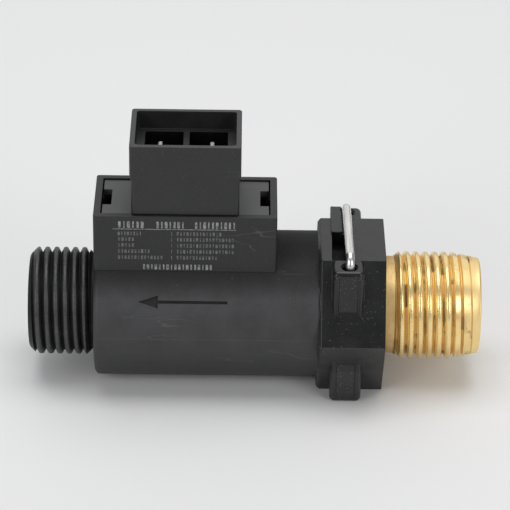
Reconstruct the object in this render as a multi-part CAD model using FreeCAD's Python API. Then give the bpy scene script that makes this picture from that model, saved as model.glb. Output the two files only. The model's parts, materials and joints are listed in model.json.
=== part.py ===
import FreeCAD, Part
import math
import os

os.makedirs("parts", exist_ok=True)

# Inline flow switch, in millimetres. Water runs along X: it enters the brass nipple at
# the origin and leaves through the plastic thread, towards -X. Z points to the connector.

# Lengths along the flow axis
NIPPLE_REACH = 18.7
COLLAR_LENGTH = 12.9
BARREL_LENGTH = 43.1
OUTLET_THREAD_LENGTH = 12.8
COLLAR_RIGHT = -NIPPLE_REACH
COLLAR_LEFT = COLLAR_RIGHT - COLLAR_LENGTH
BARREL_LEFT = COLLAR_LEFT - BARREL_LENGTH
OUTLET_END = BARREL_LEFT - OUTLET_THREAD_LENGTH

# G 1/2 pipe thread, the same on both ends: 14 blunt 55 degree ridges to the inch
THREAD_RADIUS = 20.955 / 2
PITCH = 25.4 / 14
FLANK_ANGLE = math.radians(27.5)
THREAD_HEIGHT = 1.08
ROOT_FLAT = 0.08
ROOT_STEP = 0.06
CREST_DROP = 0.12
ROOT_RADIUS = THREAD_RADIUS - THREAD_HEIGHT
RIDGE_EMBED = 0.3
END_LEAD = 0.35
LEAD_START = 0.1
RUNOUT_GAP = 0.5
STEEP_LEAD = 1.2
LONG_LEAD = 5.6
PLASTIC_THREAD_SHIFT = 0.4
BRASS_THREAD_SHIFT = 0.2

# Fits and clearances
RUNNING_GAP = 0.1
SEAT_GAP = 0.05
LOOSE_GAP = 0.3

# How far a cutting shape reaches past what it cuts, and one moulded shape into the next
CUT_BEYOND = 1.0
JOIN_DEPTH = 1.0

# Barrel, clip collar and switch block, moulded in one
BARREL_RADIUS = 14.3
BARREL_EDGE_ROUND = 1.0
HEX_APOTHEM = 14.5
HEX_CHAMFER = 0.6
BAND_WIDTH = 6.1
BAND_OFFSET = -0.15
BAND_HALF_DEPTH = 13.3
BAND_ROUND = 1.05
BEAD_RADIUS = 0.6
BEAD_SINK = 0.25
BEAD_INSET = 0.8
BEAD_END_GAP = 1.6
BACK_POST_RISE = 0.5
BACK_POST_WIDTH = 2.2
TOP_RECESS_LENGTH = 10.3
TOP_RECESS_WALL = 1.1
BLOCK_LENGTH = 35.0
BLOCK_HALF_DEPTH = 8.35
BLOCK_TOP = 23.5
BLOCK_EDGE_ROUND = 0.5
RIM_EDGE_ROUND = 0.2
BLOCK_WALL = 1.35
BLOCK_LEFT = BARREL_LEFT
BLOCK_RIGHT = BLOCK_LEFT + BLOCK_LENGTH
BLOCK_MIDDLE = (BLOCK_LEFT + BLOCK_RIGHT) / 2

# Water way through the moulding
SOCKET_RADIUS = 11.4
SOCKET_CHAMFER = 0.7
CHAMBER_RADIUS = 9.2
CHAMBER_LENGTH = 26.5
OUTLET_BORE_RADIUS = 6.4
OUTLET_BORE_LENGTH = 15.5
STEM_BORE_RADIUS = 7.6

# Dry pocket in the block, above the chamber wall
POCKET_FLOOR_WALL = 2.4
POCKET_FLOOR = CHAMBER_RADIUS + POCKET_FLOOR_WALL
COVER_LEDGE = 0.8
COVER_LEDGE_THICKNESS = 3.3
HOOK_NOTCH_SINK = 2.0
COVER_RECESS = 0.3
COVER_THICKNESS = 1.9
COVER_GAP = 0.25
COVER_TOP = BLOCK_TOP - COVER_RECESS
COVER_BOTTOM = COVER_TOP - COVER_THICKNESS
BOARD_PAD_LENGTH = 1.6
BOARD_PAD_HEIGHT = 3.0

# Flow arrow cut into the barrel, pointing to the outlet
ARROW_LENGTH = 17.0
ARROW_SETBACK = 8.7
ARROW_TIP_X = BARREL_LEFT + ARROW_SETBACK
ARROW_HEAD_LENGTH = 3.7
ARROW_HEAD_WIDTH = 2.4
ARROW_SHAFT_WIDTH = 0.55
ARROW_DEPTH = 0.3
ARROW_TILT = 30.0

# Retaining clip of round spring wire, pushed down through the collar
WIRE_RADIUS = 0.87
CLIP_HALF_SPAN = 10.85
CLIP_BEND_RADIUS = 2.0
CLIP_BOW_GAP = 0.85
CLIP_BOW_HEIGHT = HEX_APOTHEM + CLIP_BOW_GAP + WIRE_RADIUS
CLIP_LEG_END = -13.4
CLIP_POINT = 0.35
CLIP_SETBACK = 7.15
CLIP_X = COLLAR_RIGHT - CLIP_SETBACK
CLIP_PLAY = 0.45
CLIP_SKEW = 0.15
CLIP_HOLE_RADIUS = WIRE_RADIUS + CLIP_PLAY
CLIP_HOLE_MOUTH = 1.7

# Brass nipple
NIPPLE_THREAD_LENGTH = 16.6
UNDERCUT_RADIUS = 9.5
UNDERCUT_LENGTH = 3.1
FLANGE_RADIUS = SOCKET_RADIUS - RUNNING_GAP
CLIP_GROOVE_RADIUS = CLIP_HALF_SPAN - WIRE_RADIUS - LOOSE_GAP
CLIP_GROOVE_WIDTH = 2 * CLIP_HOLE_RADIUS
REAR_FLANGE_LENGTH = 2.2
RING_GROOVE_WIDTH = 2.6
RING_GROOVE_RADIUS = 9.7
TAIL_LENGTH = 2.03
TAIL_CHAMFER = 0.4
INLET_BORE_RADIUS = 7.2
INLET_BORE_LENGTH = 16.0
STRAINER_BORE_RADIUS = 7.8
BORE_CHAMFER = 0.6
CLIP_GROOVE_RIGHT = CLIP_X + CLIP_GROOVE_WIDTH / 2
CLIP_GROOVE_LEFT = CLIP_X - CLIP_GROOVE_WIDTH / 2
RING_GROOVE_RIGHT = CLIP_GROOVE_LEFT - REAR_FLANGE_LENGTH
RING_GROOVE_LEFT = RING_GROOVE_RIGHT - RING_GROOVE_WIDTH
NIPPLE_TAIL = RING_GROOVE_LEFT - TAIL_LENGTH
NIPPLE_RING_WIDTH = 2.2
RING_CORNER = 0.55

# Strainer cup in the tail of the nipple
STRAINER_RIM_LENGTH = 1.6
STRAINER_RIM_WALL = 1.1
STRAINER_LENGTH = 12.0
STRAINER_RIB_WIDTH = 1.2
STRAINER_RIB_DEPTH = 0.85
STRAINER_RIB_COUNT = 4
MESH_THICKNESS = 0.25
STRAINER_RADIUS = STRAINER_BORE_RADIUS - SEAT_GAP
MESH_RADIUS = STRAINER_RADIUS - STRAINER_RIB_DEPTH

# Seat ring, clamped on the shoulder behind the nipple
SEAT_FLANGE_RADIUS = SOCKET_RADIUS - 2 * RUNNING_GAP
SEAT_FLANGE_THICKNESS = 1.45
SEAT_RIGHT = NIPPLE_TAIL - SEAT_GAP
SHOULDER_X = SEAT_RIGHT - SEAT_FLANGE_THICKNESS
CHAMBER_END = SHOULDER_X - CHAMBER_LENGTH
SEAT_NOSE_RADIUS = CHAMBER_RADIUS - RUNNING_GAP
SEAT_NOSE_LENGTH = 3.0
ORIFICE_RADIUS = 5.0
ORIFICE_CHAMFER = 0.5
SEAT_GROOVE_RADIUS = 7.9
SEAT_GROOVE_WIDTH = 1.6
SEAT_FACE = SHOULDER_X - SEAT_NOSE_LENGTH
SEAT_RING_WIDTH = 1.3
SEAT_RING_CORNER = 0.35

# Piston, from its rubber washer to the tip of its stem
WASHER_RADIUS = 6.3
WASHER_HOLE_RADIUS = 2.5
WASHER_THICKNESS = 1.2
NOSE_RADIUS = WASHER_HOLE_RADIUS - SEAT_GAP
NOSE_LENGTH = 1.7
NOSE_TIP_RADIUS = 1.3
PISTON_RADIUS = 6.6
PISTON_PLATE = 1.6
SLEEVE_WALL = 0.95
SLEEVE_LENGTH = 7.7
FIN_COUNT = 4
FIN_WIDTH = 1.2
FIN_LENGTH = 8.0
FIN_REACH = CHAMBER_RADIUS - RUNNING_GAP
STEM_RADIUS = 2.0
STEM_OVERHANG = 2.6
MAGNET_LENGTH = 6.0
MAGNET_HOLE_RADIUS = STEM_RADIUS + RUNNING_GAP
MAGNET_RADIUS = PISTON_RADIUS - SLEEVE_WALL - SEAT_GAP
CAP_THICKNESS = 1.6
PISTON_RIGHT = SEAT_FACE - WASHER_THICKNESS
MAGNET_RIGHT = PISTON_RIGHT - PISTON_PLATE
CAP_RIGHT = MAGNET_RIGHT - MAGNET_LENGTH
CAP_LEFT = CAP_RIGHT - CAP_THICKNESS

# Stem guide at the end of the chamber, and the spring on it
GUIDE_RADIUS = CHAMBER_RADIUS - RUNNING_GAP
GUIDE_RIM_WALL = 1.5
GUIDE_THICKNESS = 3.2
GUIDE_HUB_RADIUS = 4.4
GUIDE_ARM_COUNT = 3
GUIDE_ARM_WIDTH = 1.5
GUIDE_RIGHT = CHAMBER_END + GUIDE_THICKNESS
STEM_TIP = CHAMBER_END - STEM_OVERHANG
SPRING_WIRE_RADIUS = 0.3
SPRING_RADIUS = 3.5
SPRING_TURNS = 6

# Connector shell on the cover
SHELL_LENGTH = 21.1
SHELL_HALF_DEPTH = 8.0
SHELL_TOP = 38.2
SHELL_STEP = 0.3
SHELL_COLLAR_BOTTOM = 32.0
SHELL_TAPER_BOTTOM = 30.5
SHELL_SHADOW_GAP = 0.15
SHELL_EDGE_ROUND = 0.6
SHELL_LEDGE = 34.4
SHELL_WALL = 1.0
CAVITY_LENGTH = 7.3
CAVITY_HALF_DEPTH = 5.95
CAVITY_RIB = 1.2
CAVITY_FLOOR = 25.2
SHELL_BOTTOM = BLOCK_TOP + SHELL_SHADOW_GAP

# Snap hooks that hang under both ends of the cover
NOTCH_LENGTH = 1.65
NOTCH_HALF_WIDTH = 3.0
HOOK_HALF_WIDTH = 2.7
HOOK_THICKNESS = 1.0
HOOK_BARB = 1.15
HOOK_BARB_HEIGHT = 1.2
HOOK_CATCH_GAP = 0.1
HOOK_DROP = 4.9

# Terminal tabs
TAB_SPACING = 9.9
TAB_THICKNESS = 0.8
TAB_HALF_WIDTH = 3.15
TAB_TIP = 34.1
TAB_TIP_CHAMFER = 0.9
TAB_TIP_BEVEL = 0.22
TAB_FOOT = 17.3
TAB_TAIL_WIDTH = 2.4
TAB_TAIL_Y = 3.2

# Circuit board
BOARD_HALF_DEPTH = 6.0
BOARD_END_GAP = 0.35
BOARD_THICKNESS = 1.2
BOARD_BOTTOM = POCKET_FLOOR + BOARD_PAD_HEIGHT
BOARD_TOP = BOARD_BOTTOM + BOARD_THICKNESS
SOLDER_HEIGHT = 0.7
SOLDER_MARGIN = 0.6
SOLDER_SLOPE = 0.5

# Reed switch under the board
REED_LENGTH = 14.0
REED_RADIUS = 1.1
REED_WALL = 0.3
REED_SEAL_LENGTH = 2.5
REED_FLOOR_GAP = 0.2
REED_Z = POCKET_FLOOR + REED_FLOOR_GAP + REED_RADIUS
LEAD_RADIUS = 0.25
LEAD_SPAN = 18.2
LEAD_END_GAP = 0.7
LEAD_RIGHT = BLOCK_RIGHT - BLOCK_WALL - COVER_LEDGE - BOARD_PAD_LENGTH - LEAD_END_GAP - LEAD_RADIUS
REED_X = LEAD_RIGHT - LEAD_SPAN / 2
LEAD_PROUD = 0.3
BLADE_THICKNESS = 0.2
BLADE_HALF_WIDTH = 0.4
BLADE_OVERLAP = 1.2
BLADE_GAP = 0.18
BLADE_ROOT_GAP = 0.05
BLADE_ROOT_LENGTH = 0.3


def box(x_low, x_high, y_low, y_high, z_low, z_high):
    corner = FreeCAD.Vector(x_low, y_low, z_low)
    return Part.makeBox(x_high - x_low, y_high - y_low, z_high - z_low, corner)


def revolved(outline):
    """Solid of revolution about the flow axis; the outline is a list of (x, radius)."""
    points = [FreeCAD.Vector(x, 0, radius) for x, radius in outline]
    face = Part.Face(Part.makePolygon(points + points[:1]))
    return face.revolve(FreeCAD.Vector(0, 0, 0), FreeCAD.Vector(1, 0, 0), 360)


def round_bar(x_low, x_high, radius, y=0.0, z=0.0):
    """Cylinder along X."""
    start = FreeCAD.Vector(x_low, y, z)
    return Part.makeCylinder(radius, x_high - x_low, start, FreeCAD.Vector(1, 0, 0))


def ring(x_low, x_high, outer_radius, inner_radius):
    return revolved([
        (x_low, inner_radius),
        (x_low, outer_radius),
        (x_high, outer_radius),
        (x_high, inner_radius),
    ])


def soft_ring(middle_x, width, outer_radius, inner_radius, corner):
    """Sealing ring, squeezed flat in its groove, with rounded corners."""
    plain = ring(middle_x - width / 2, middle_x + width / 2, outer_radius, inner_radius)
    return plain.makeFillet(corner, [edge for edge in plain.Edges if is_rim(edge)])


def is_rim(edge):
    """True for a full circle, which is what rounds a ring's corners."""
    return isinstance(edge.Curve, Part.Circle) and edge.isClosed()


def upright_edges(solid):
    """The edges that run along Z."""
    return [
        edge for edge in solid.Edges
        if isinstance(edge.Curve, Part.Line)
        and abs(edge.Curve.Direction.z) > 0.999
    ]


def edges_at_height(solid, z):
    """The edges that lie in the level plane at z."""
    return [
        edge for edge in solid.Edges
        if abs(edge.BoundBox.ZMin - z) < 0.01 and abs(edge.BoundBox.ZMax - z) < 0.01
    ]


def turned(shape, angle):
    """Copy of the shape turned about the flow axis."""
    copy = shape.copy()
    copy.rotate(FreeCAD.Vector(0, 0, 0), FreeCAD.Vector(1, 0, 0), angle)
    return copy


def thread_ridge(x_low, x_high, shift, low_lead, high_lead):
    """Helical ridge of the pipe thread, with a lead cone at each end."""
    base = ROOT_RADIUS - RIDGE_EMBED
    crest_edge = THREAD_RADIUS - CREST_DROP
    half_base = (PITCH - ROOT_FLAT) / 2
    flank_height = THREAD_HEIGHT - ROOT_STEP - CREST_DROP
    half_crest = half_base - flank_height * math.tan(FLANK_ANGLE)
    lower_foot = FreeCAD.Vector(base, 0, -half_base)
    upper_foot = FreeCAD.Vector(base, 0, half_base)
    lower_root = FreeCAD.Vector(ROOT_RADIUS + ROOT_STEP, 0, -half_base)
    upper_root = FreeCAD.Vector(ROOT_RADIUS + ROOT_STEP, 0, half_base)
    lower_crest = FreeCAD.Vector(crest_edge, 0, -half_crest)
    upper_crest = FreeCAD.Vector(crest_edge, 0, half_crest)
    top = FreeCAD.Vector(THREAD_RADIUS, 0, 0)
    profile = Part.Wire([
        Part.makeLine(lower_foot, lower_root),
        Part.makeLine(lower_root, lower_crest),
        Part.Arc(lower_crest, top, upper_crest).toShape(),
        Part.makeLine(upper_crest, upper_root),
        Part.makeLine(upper_root, upper_foot),
        Part.makeLine(upper_foot, lower_foot),
    ])
    path = Part.makeHelix(PITCH, x_high - x_low + 2 * PITCH, base)
    ridge = Part.Wire(path).makePipeShell([profile], True, True)
    ridge.rotate(FreeCAD.Vector(0, 0, 0), FreeCAD.Vector(0, 1, 0), 90)
    ridge.translate(FreeCAD.Vector(x_low - PITCH + shift, 0, 0))
    return ridge.common(thread_room(x_low, x_high, low_lead, high_lead))


def thread_room(x_low, x_high, low_lead, high_lead):
    """Bar that the ridge is held to, tapered at each end to just below the root."""
    end_radius = ROOT_RADIUS - LEAD_START
    bar_radius = THREAD_RADIUS + LOOSE_GAP
    rise = (bar_radius - end_radius) / (THREAD_HEIGHT + LEAD_START)
    return revolved([
        (x_low, 0),
        (x_low, end_radius),
        (x_low + low_lead * rise, bar_radius),
        (x_high - high_lead * rise, bar_radius),
        (x_high, end_radius),
        (x_high, 0),
    ])


def arrow_cutter():
    """Arrow outline, cut to an even depth in the round barrel."""
    tail_x = ARROW_TIP_X + ARROW_LENGTH
    neck_x = ARROW_TIP_X + ARROW_HEAD_LENGTH
    half_head = ARROW_HEAD_WIDTH / 2
    half_shaft = ARROW_SHAFT_WIDTH / 2
    outline = [
        (ARROW_TIP_X, 0),
        (neck_x, half_head),
        (neck_x, half_shaft),
        (tail_x, half_shaft),
        (tail_x, -half_shaft),
        (neck_x, -half_shaft),
        (neck_x, -half_head),
    ]
    points = [FreeCAD.Vector(x, -BARREL_RADIUS / 2, z) for x, z in outline]
    face = Part.Face(Part.makePolygon(points + points[:1]))
    prism = face.extrude(FreeCAD.Vector(0, -BARREL_RADIUS, 0))
    skin = ring(BARREL_LEFT, COLLAR_LEFT, BARREL_RADIUS + LOOSE_GAP, BARREL_RADIUS - ARROW_DEPTH)
    return turned(prism, -ARROW_TILT).common(skin)


def hex_collar():
    """Hexagon with flats on top and bottom, bevelled on the side of the barrel."""
    corner_radius = HEX_APOTHEM / math.cos(math.radians(30))
    points = []
    for corner in range(6):
        angle = math.radians(60 * corner)
        y = corner_radius * math.cos(angle)
        z = corner_radius * math.sin(angle)
        points.append(FreeCAD.Vector(COLLAR_LEFT, y, z))
    face = Part.Face(Part.makePolygon(points + points[:1]))
    prism = face.extrude(FreeCAD.Vector(COLLAR_LENGTH, 0, 0))
    left_edges = [
        edge for edge in prism.Edges
        if all(abs(vertex.X - COLLAR_LEFT) < 0.01 for vertex in edge.Vertexes)
    ]
    return prism.makeChamfer(HEX_CHAMFER, left_edges)


def hex_side():
    """Where the top flat of the hexagon ends towards the front."""
    return -HEX_APOTHEM * math.tan(math.radians(30))


def band_bead(x, side):
    """Round bead that stiffens one upright corner of the band, domed at both ends."""
    centre_y = side * (BAND_HALF_DEPTH - BEAD_SINK)
    reach = HEX_APOTHEM - BEAD_END_GAP
    foot = FreeCAD.Vector(x, centre_y, -reach)
    head = FreeCAD.Vector(x, centre_y, reach)
    bar = Part.makeCylinder(BEAD_RADIUS, 2 * reach, foot, FreeCAD.Vector(0, 0, 1))
    return bar.fuse([Part.makeSphere(BEAD_RADIUS, foot), Part.makeSphere(BEAD_RADIUS, head)])


def clip_band():
    """Square band over the hexagon, which gives the clip's legs their guide holes."""
    low = CLIP_X + BAND_OFFSET - BAND_WIDTH / 2
    high = low + BAND_WIDTH
    plain = box(low, high, -BAND_HALF_DEPTH, BAND_HALF_DEPTH, -HEX_APOTHEM, HEX_APOTHEM)
    band = plain.makeFillet(BAND_ROUND, plain.Edges)
    for side in (-1, 1):
        for x in (low + BEAD_INSET, high - BEAD_INSET):
            band = band.fuse(band_bead(x, side))
    post = box(
        low, low + BACK_POST_WIDTH,
        hex_side() + TOP_RECESS_LENGTH, BAND_HALF_DEPTH - BAND_ROUND,
        0, HEX_APOTHEM + BACK_POST_RISE,
    )
    return band.fuse(post.makeFillet(BACK_POST_RISE, upright_edges(post)))


def top_recess():
    """Open recess in the top flat beside the clip; its floor keeps an even wall to the socket."""
    low = CLIP_X + BAND_OFFSET - BAND_WIDTH / 2
    opening = box(
        low, CLIP_X + CLIP_SKEW, hex_side(), hex_side() + TOP_RECESS_LENGTH,
        0, HEX_APOTHEM + CUT_BEYOND,
    )
    kept = round_bar(low - CUT_BEYOND, CLIP_X + CUT_BEYOND, SOCKET_RADIUS + TOP_RECESS_WALL)
    return opening.cut(kept)


def leg_hole(side):
    """Guide hole for one clip leg, with a flared mouth at each end."""
    centre_y = side * CLIP_HALF_SPAN
    flare = CLIP_HOLE_MOUTH - CLIP_HOLE_RADIUS
    start = FreeCAD.Vector(CLIP_X, centre_y, -HEX_APOTHEM - CUT_BEYOND)
    up = FreeCAD.Vector(0, 0, 1)
    hole = Part.makeCylinder(CLIP_HOLE_RADIUS, 2 * (HEX_APOTHEM + CUT_BEYOND), start, up)
    for end in (-1, 1):
        mouth = FreeCAD.Vector(CLIP_X, centre_y, end * (HEX_APOTHEM + LOOSE_GAP))
        cone = Part.makeCone(
            CLIP_HOLE_MOUTH + LOOSE_GAP, CLIP_HOLE_RADIUS, flare + LOOSE_GAP,
            mouth, FreeCAD.Vector(0, 0, -end),
        )
        hole = hole.fuse(cone)
    return hole


def water_way():
    """Everything cut out along the flow axis: socket, chamber, stem bore and outlet."""
    stem_bore_left = OUTLET_END + OUTLET_BORE_LENGTH
    return revolved([
        (COLLAR_RIGHT + CUT_BEYOND, 0),
        (COLLAR_RIGHT + CUT_BEYOND, SOCKET_RADIUS + SOCKET_CHAMFER + CUT_BEYOND),
        (COLLAR_RIGHT - SOCKET_CHAMFER, SOCKET_RADIUS),
        (SHOULDER_X, SOCKET_RADIUS),
        (SHOULDER_X, CHAMBER_RADIUS),
        (CHAMBER_END, CHAMBER_RADIUS),
        (CHAMBER_END, STEM_BORE_RADIUS),
        (stem_bore_left, STEM_BORE_RADIUS),
        (stem_bore_left, OUTLET_BORE_RADIUS),
        (OUTLET_END + BORE_CHAMFER, OUTLET_BORE_RADIUS),
        (OUTLET_END - CUT_BEYOND, OUTLET_BORE_RADIUS + BORE_CHAMFER + CUT_BEYOND),
        (OUTLET_END - CUT_BEYOND, 0),
    ])


def dry_pocket():
    """Room for the board and the reed: a wide recess for the cover over a narrower pocket."""
    recess_half = BLOCK_HALF_DEPTH - BLOCK_WALL
    pocket_half = recess_half - COVER_LEDGE
    recess_left = BLOCK_LEFT + BLOCK_WALL
    recess_right = BLOCK_RIGHT - BLOCK_WALL
    ledge_bottom = COVER_BOTTOM - COVER_LEDGE_THICKNESS
    recess = box(
        recess_left, recess_right, -recess_half, recess_half,
        COVER_BOTTOM, BLOCK_TOP + CUT_BEYOND,
    )
    throat = box(
        recess_left + COVER_LEDGE, recess_right - COVER_LEDGE,
        -pocket_half, pocket_half, POCKET_FLOOR, COVER_BOTTOM,
    )
    hook_room_half = HOOK_HALF_WIDTH + LOOSE_GAP
    hook_room = box(
        recess_left, recess_right, -hook_room_half, hook_room_half,
        BOARD_BOTTOM, ledge_bottom,
    )
    notch_sink = box(
        recess_left, recess_right, -hook_room_half, hook_room_half,
        COVER_BOTTOM - HOOK_NOTCH_SINK, COVER_BOTTOM,
    )
    pocket = recess.fuse([throat, hook_room, notch_sink])
    for pad_left in (
        recess_left + COVER_LEDGE,
        recess_right - COVER_LEDGE - BOARD_PAD_LENGTH,
    ):
        pad = box(
            pad_left, pad_left + BOARD_PAD_LENGTH,
            -pocket_half, pocket_half, POCKET_FLOOR, BOARD_BOTTOM,
        )
        pocket = pocket.cut(pad)
    return pocket


def body_housing():
    """Black moulding: threaded outlet, barrel, clip collar and open switch block."""
    barrel = round_bar(BARREL_LEFT, COLLAR_LEFT + JOIN_DEPTH, BARREL_RADIUS)
    left_rim = [
        edge for edge in barrel.Edges
        if is_rim(edge) and abs(edge.Vertexes[0].X - BARREL_LEFT) < 0.01
    ]
    barrel = barrel.makeFillet(BARREL_EDGE_ROUND, left_rim)
    block = box(
        BLOCK_LEFT, BLOCK_RIGHT, -BLOCK_HALF_DEPTH, BLOCK_HALF_DEPTH, 0, BLOCK_TOP,
    )
    block = block.makeFillet(BLOCK_EDGE_ROUND, upright_edges(block))
    block = block.makeFillet(RIM_EDGE_ROUND, edges_at_height(block, BLOCK_TOP))
    core = revolved([
        (OUTLET_END, 0),
        (OUTLET_END, ROOT_RADIUS - END_LEAD),
        (OUTLET_END + END_LEAD, ROOT_RADIUS),
        (BARREL_LEFT + JOIN_DEPTH, ROOT_RADIUS),
        (BARREL_LEFT + JOIN_DEPTH, 0),
    ])
    solid = barrel.fuse([block, hex_collar(), clip_band(), core])
    cutters = [water_way(), dry_pocket(), arrow_cutter(), top_recess()]
    for side in (-1, 1):
        cutters.append(leg_hole(side))
    solid = solid.cut(cutters)
    ridge = thread_ridge(
        OUTLET_END + END_LEAD / 2, BARREL_LEFT - RUNOUT_GAP,
        PLASTIC_THREAD_SHIFT, STEEP_LEAD, STEEP_LEAD,
    )
    return solid.fuse(ridge)


def inlet_nipple():
    """Turned brass nipple: threaded outside, grooved for the clip and a sealing ring."""
    thread_left = -NIPPLE_THREAD_LENGTH
    undercut_left = thread_left - UNDERCUT_LENGTH
    turned_body = revolved([
        (0, INLET_BORE_RADIUS),
        (0, ROOT_RADIUS - END_LEAD),
        (-END_LEAD, ROOT_RADIUS),
        (thread_left, ROOT_RADIUS),
        (thread_left, UNDERCUT_RADIUS),
        (undercut_left, UNDERCUT_RADIUS),
        (undercut_left, FLANGE_RADIUS - TAIL_CHAMFER),
        (undercut_left - TAIL_CHAMFER, FLANGE_RADIUS),
        (CLIP_GROOVE_RIGHT, FLANGE_RADIUS),
        (CLIP_GROOVE_RIGHT, CLIP_GROOVE_RADIUS),
        (CLIP_GROOVE_LEFT, CLIP_GROOVE_RADIUS),
        (CLIP_GROOVE_LEFT, FLANGE_RADIUS),
        (RING_GROOVE_RIGHT, FLANGE_RADIUS),
        (RING_GROOVE_RIGHT, RING_GROOVE_RADIUS),
        (RING_GROOVE_LEFT, RING_GROOVE_RADIUS),
        (RING_GROOVE_LEFT, FLANGE_RADIUS),
        (NIPPLE_TAIL + TAIL_CHAMFER, FLANGE_RADIUS),
        (NIPPLE_TAIL, FLANGE_RADIUS - TAIL_CHAMFER),
        (NIPPLE_TAIL, STRAINER_BORE_RADIUS),
        (-INLET_BORE_LENGTH, STRAINER_BORE_RADIUS),
        (-INLET_BORE_LENGTH, INLET_BORE_RADIUS),
    ])
    ridge = thread_ridge(
        thread_left - RIDGE_EMBED, -END_LEAD / 2,
        BRASS_THREAD_SHIFT, STEEP_LEAD, LONG_LEAD,
    )
    return turned_body.fuse(ridge)


def nipple_o_ring():
    """Rubber ring that seals the nipple in its socket."""
    middle_x = (RING_GROOVE_LEFT + RING_GROOVE_RIGHT) / 2
    outer = SOCKET_RADIUS - SEAT_GAP
    inner = RING_GROOVE_RADIUS + SEAT_GAP
    return soft_ring(middle_x, NIPPLE_RING_WIDTH, outer, inner, RING_CORNER)


def strainer_frame():
    """Moulded rim with four ribs and an end ring that carry the mesh cup."""
    rim_left = NIPPLE_TAIL
    rim_right = rim_left + STRAINER_RIM_LENGTH
    cup_right = rim_left + STRAINER_LENGTH
    frame = ring(rim_left, rim_right, STRAINER_RADIUS, STRAINER_RADIUS - STRAINER_RIM_WALL)
    end_ring = ring(cup_right - STRAINER_RIM_LENGTH, cup_right, STRAINER_RADIUS, MESH_RADIUS)
    ribs = [end_ring]
    for count in range(STRAINER_RIB_COUNT):
        rib = box(
            rim_left, cup_right, -STRAINER_RIB_WIDTH / 2, STRAINER_RIB_WIDTH / 2,
            MESH_RADIUS - MESH_THICKNESS, STRAINER_RADIUS + CUT_BEYOND,
        )
        ribs.append(turned(rib, 360 * count / STRAINER_RIB_COUNT + 45))
    frame = frame.fuse(ribs)
    outside = ring(
        rim_left - CUT_BEYOND, cup_right + CUT_BEYOND,
        STRAINER_RADIUS + 2 * CUT_BEYOND, STRAINER_RADIUS,
    )
    inside = round_bar(rim_right, cup_right + CUT_BEYOND, MESH_RADIUS)
    return frame.cut([outside, inside])


def strainer_mesh():
    """Woven stainless cup, closed towards the inlet, on the inside of the ribs."""
    rim_right = NIPPLE_TAIL + STRAINER_RIM_LENGTH
    cup_right = NIPPLE_TAIL + STRAINER_LENGTH
    outer = MESH_RADIUS
    inner = MESH_RADIUS - MESH_THICKNESS
    return revolved([
        (rim_right, inner),
        (rim_right, outer),
        (cup_right, outer),
        (cup_right, 0),
        (cup_right - MESH_THICKNESS, 0),
        (cup_right - MESH_THICKNESS, inner),
    ])


def retaining_clip():
    """U of round wire, slightly askew: a bow on top and two legs through the collar."""
    bow_y = CLIP_HALF_SPAN - CLIP_BEND_RADIUS
    leg_top = CLIP_BOW_HEIGHT - CLIP_BEND_RADIUS
    diagonal = CLIP_BEND_RADIUS * math.sqrt(0.5)

    def at(y, z):
        return FreeCAD.Vector(CLIP_X, y, z)

    path = Part.Wire([
        Part.makeLine(at(-CLIP_HALF_SPAN, CLIP_LEG_END), at(-CLIP_HALF_SPAN, leg_top)),
        Part.Arc(
            at(-CLIP_HALF_SPAN, leg_top),
            at(-bow_y - diagonal, leg_top + diagonal),
            at(-bow_y, CLIP_BOW_HEIGHT),
        ).toShape(),
        Part.makeLine(at(-bow_y, CLIP_BOW_HEIGHT), at(bow_y, CLIP_BOW_HEIGHT)),
        Part.Arc(
            at(bow_y, CLIP_BOW_HEIGHT),
            at(bow_y + diagonal, leg_top + diagonal),
            at(CLIP_HALF_SPAN, leg_top),
        ).toShape(),
        Part.makeLine(at(CLIP_HALF_SPAN, leg_top), at(CLIP_HALF_SPAN, CLIP_LEG_END)),
    ])
    section = Part.Wire(Part.makeCircle(
        WIRE_RADIUS, at(-CLIP_HALF_SPAN, CLIP_LEG_END), FreeCAD.Vector(0, 0, 1),
    ))
    wire = path.makePipeShell([section], True, False)
    ends = [
        edge for edge in wire.Edges
        if is_rim(edge) and abs(edge.CenterOfMass.z - CLIP_LEG_END) < 0.01
    ]
    clip = wire.makeChamfer(CLIP_POINT, ends)
    skew = math.degrees(math.asin(CLIP_SKEW / CLIP_HALF_SPAN))
    clip.rotate(at(0, 0), FreeCAD.Vector(0, 0, 1), skew)
    return clip


def seat_ring():
    """Moulded seat: a flange on the shoulder and a nose with the orifice."""
    groove_middle = (SHOULDER_X + SEAT_FACE) / 2
    groove_right = groove_middle + SEAT_GROOVE_WIDTH / 2
    groove_left = groove_middle - SEAT_GROOVE_WIDTH / 2
    return revolved([
        (SEAT_RIGHT, ORIFICE_RADIUS + ORIFICE_CHAMFER),
        (SEAT_RIGHT, SEAT_FLANGE_RADIUS),
        (SHOULDER_X, SEAT_FLANGE_RADIUS),
        (SHOULDER_X, SEAT_NOSE_RADIUS),
        (groove_right, SEAT_NOSE_RADIUS),
        (groove_right, SEAT_GROOVE_RADIUS),
        (groove_left, SEAT_GROOVE_RADIUS),
        (groove_left, SEAT_NOSE_RADIUS),
        (SEAT_FACE, SEAT_NOSE_RADIUS),
        (SEAT_FACE, ORIFICE_RADIUS),
        (SEAT_RIGHT - ORIFICE_CHAMFER, ORIFICE_RADIUS),
    ])


def seat_o_ring():
    """Small rubber ring in the nose of the seat."""
    middle_x = (SHOULDER_X + SEAT_FACE) / 2
    outer = CHAMBER_RADIUS - SEAT_GAP
    inner = SEAT_GROOVE_RADIUS + SEAT_GAP
    return soft_ring(middle_x, SEAT_RING_WIDTH, outer, inner, SEAT_RING_CORNER)


def piston_washer():
    """Rubber washer on the piston's face, which closes the orifice."""
    return ring(PISTON_RIGHT, SEAT_FACE, WASHER_RADIUS, WASHER_HOLE_RADIUS)


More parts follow.
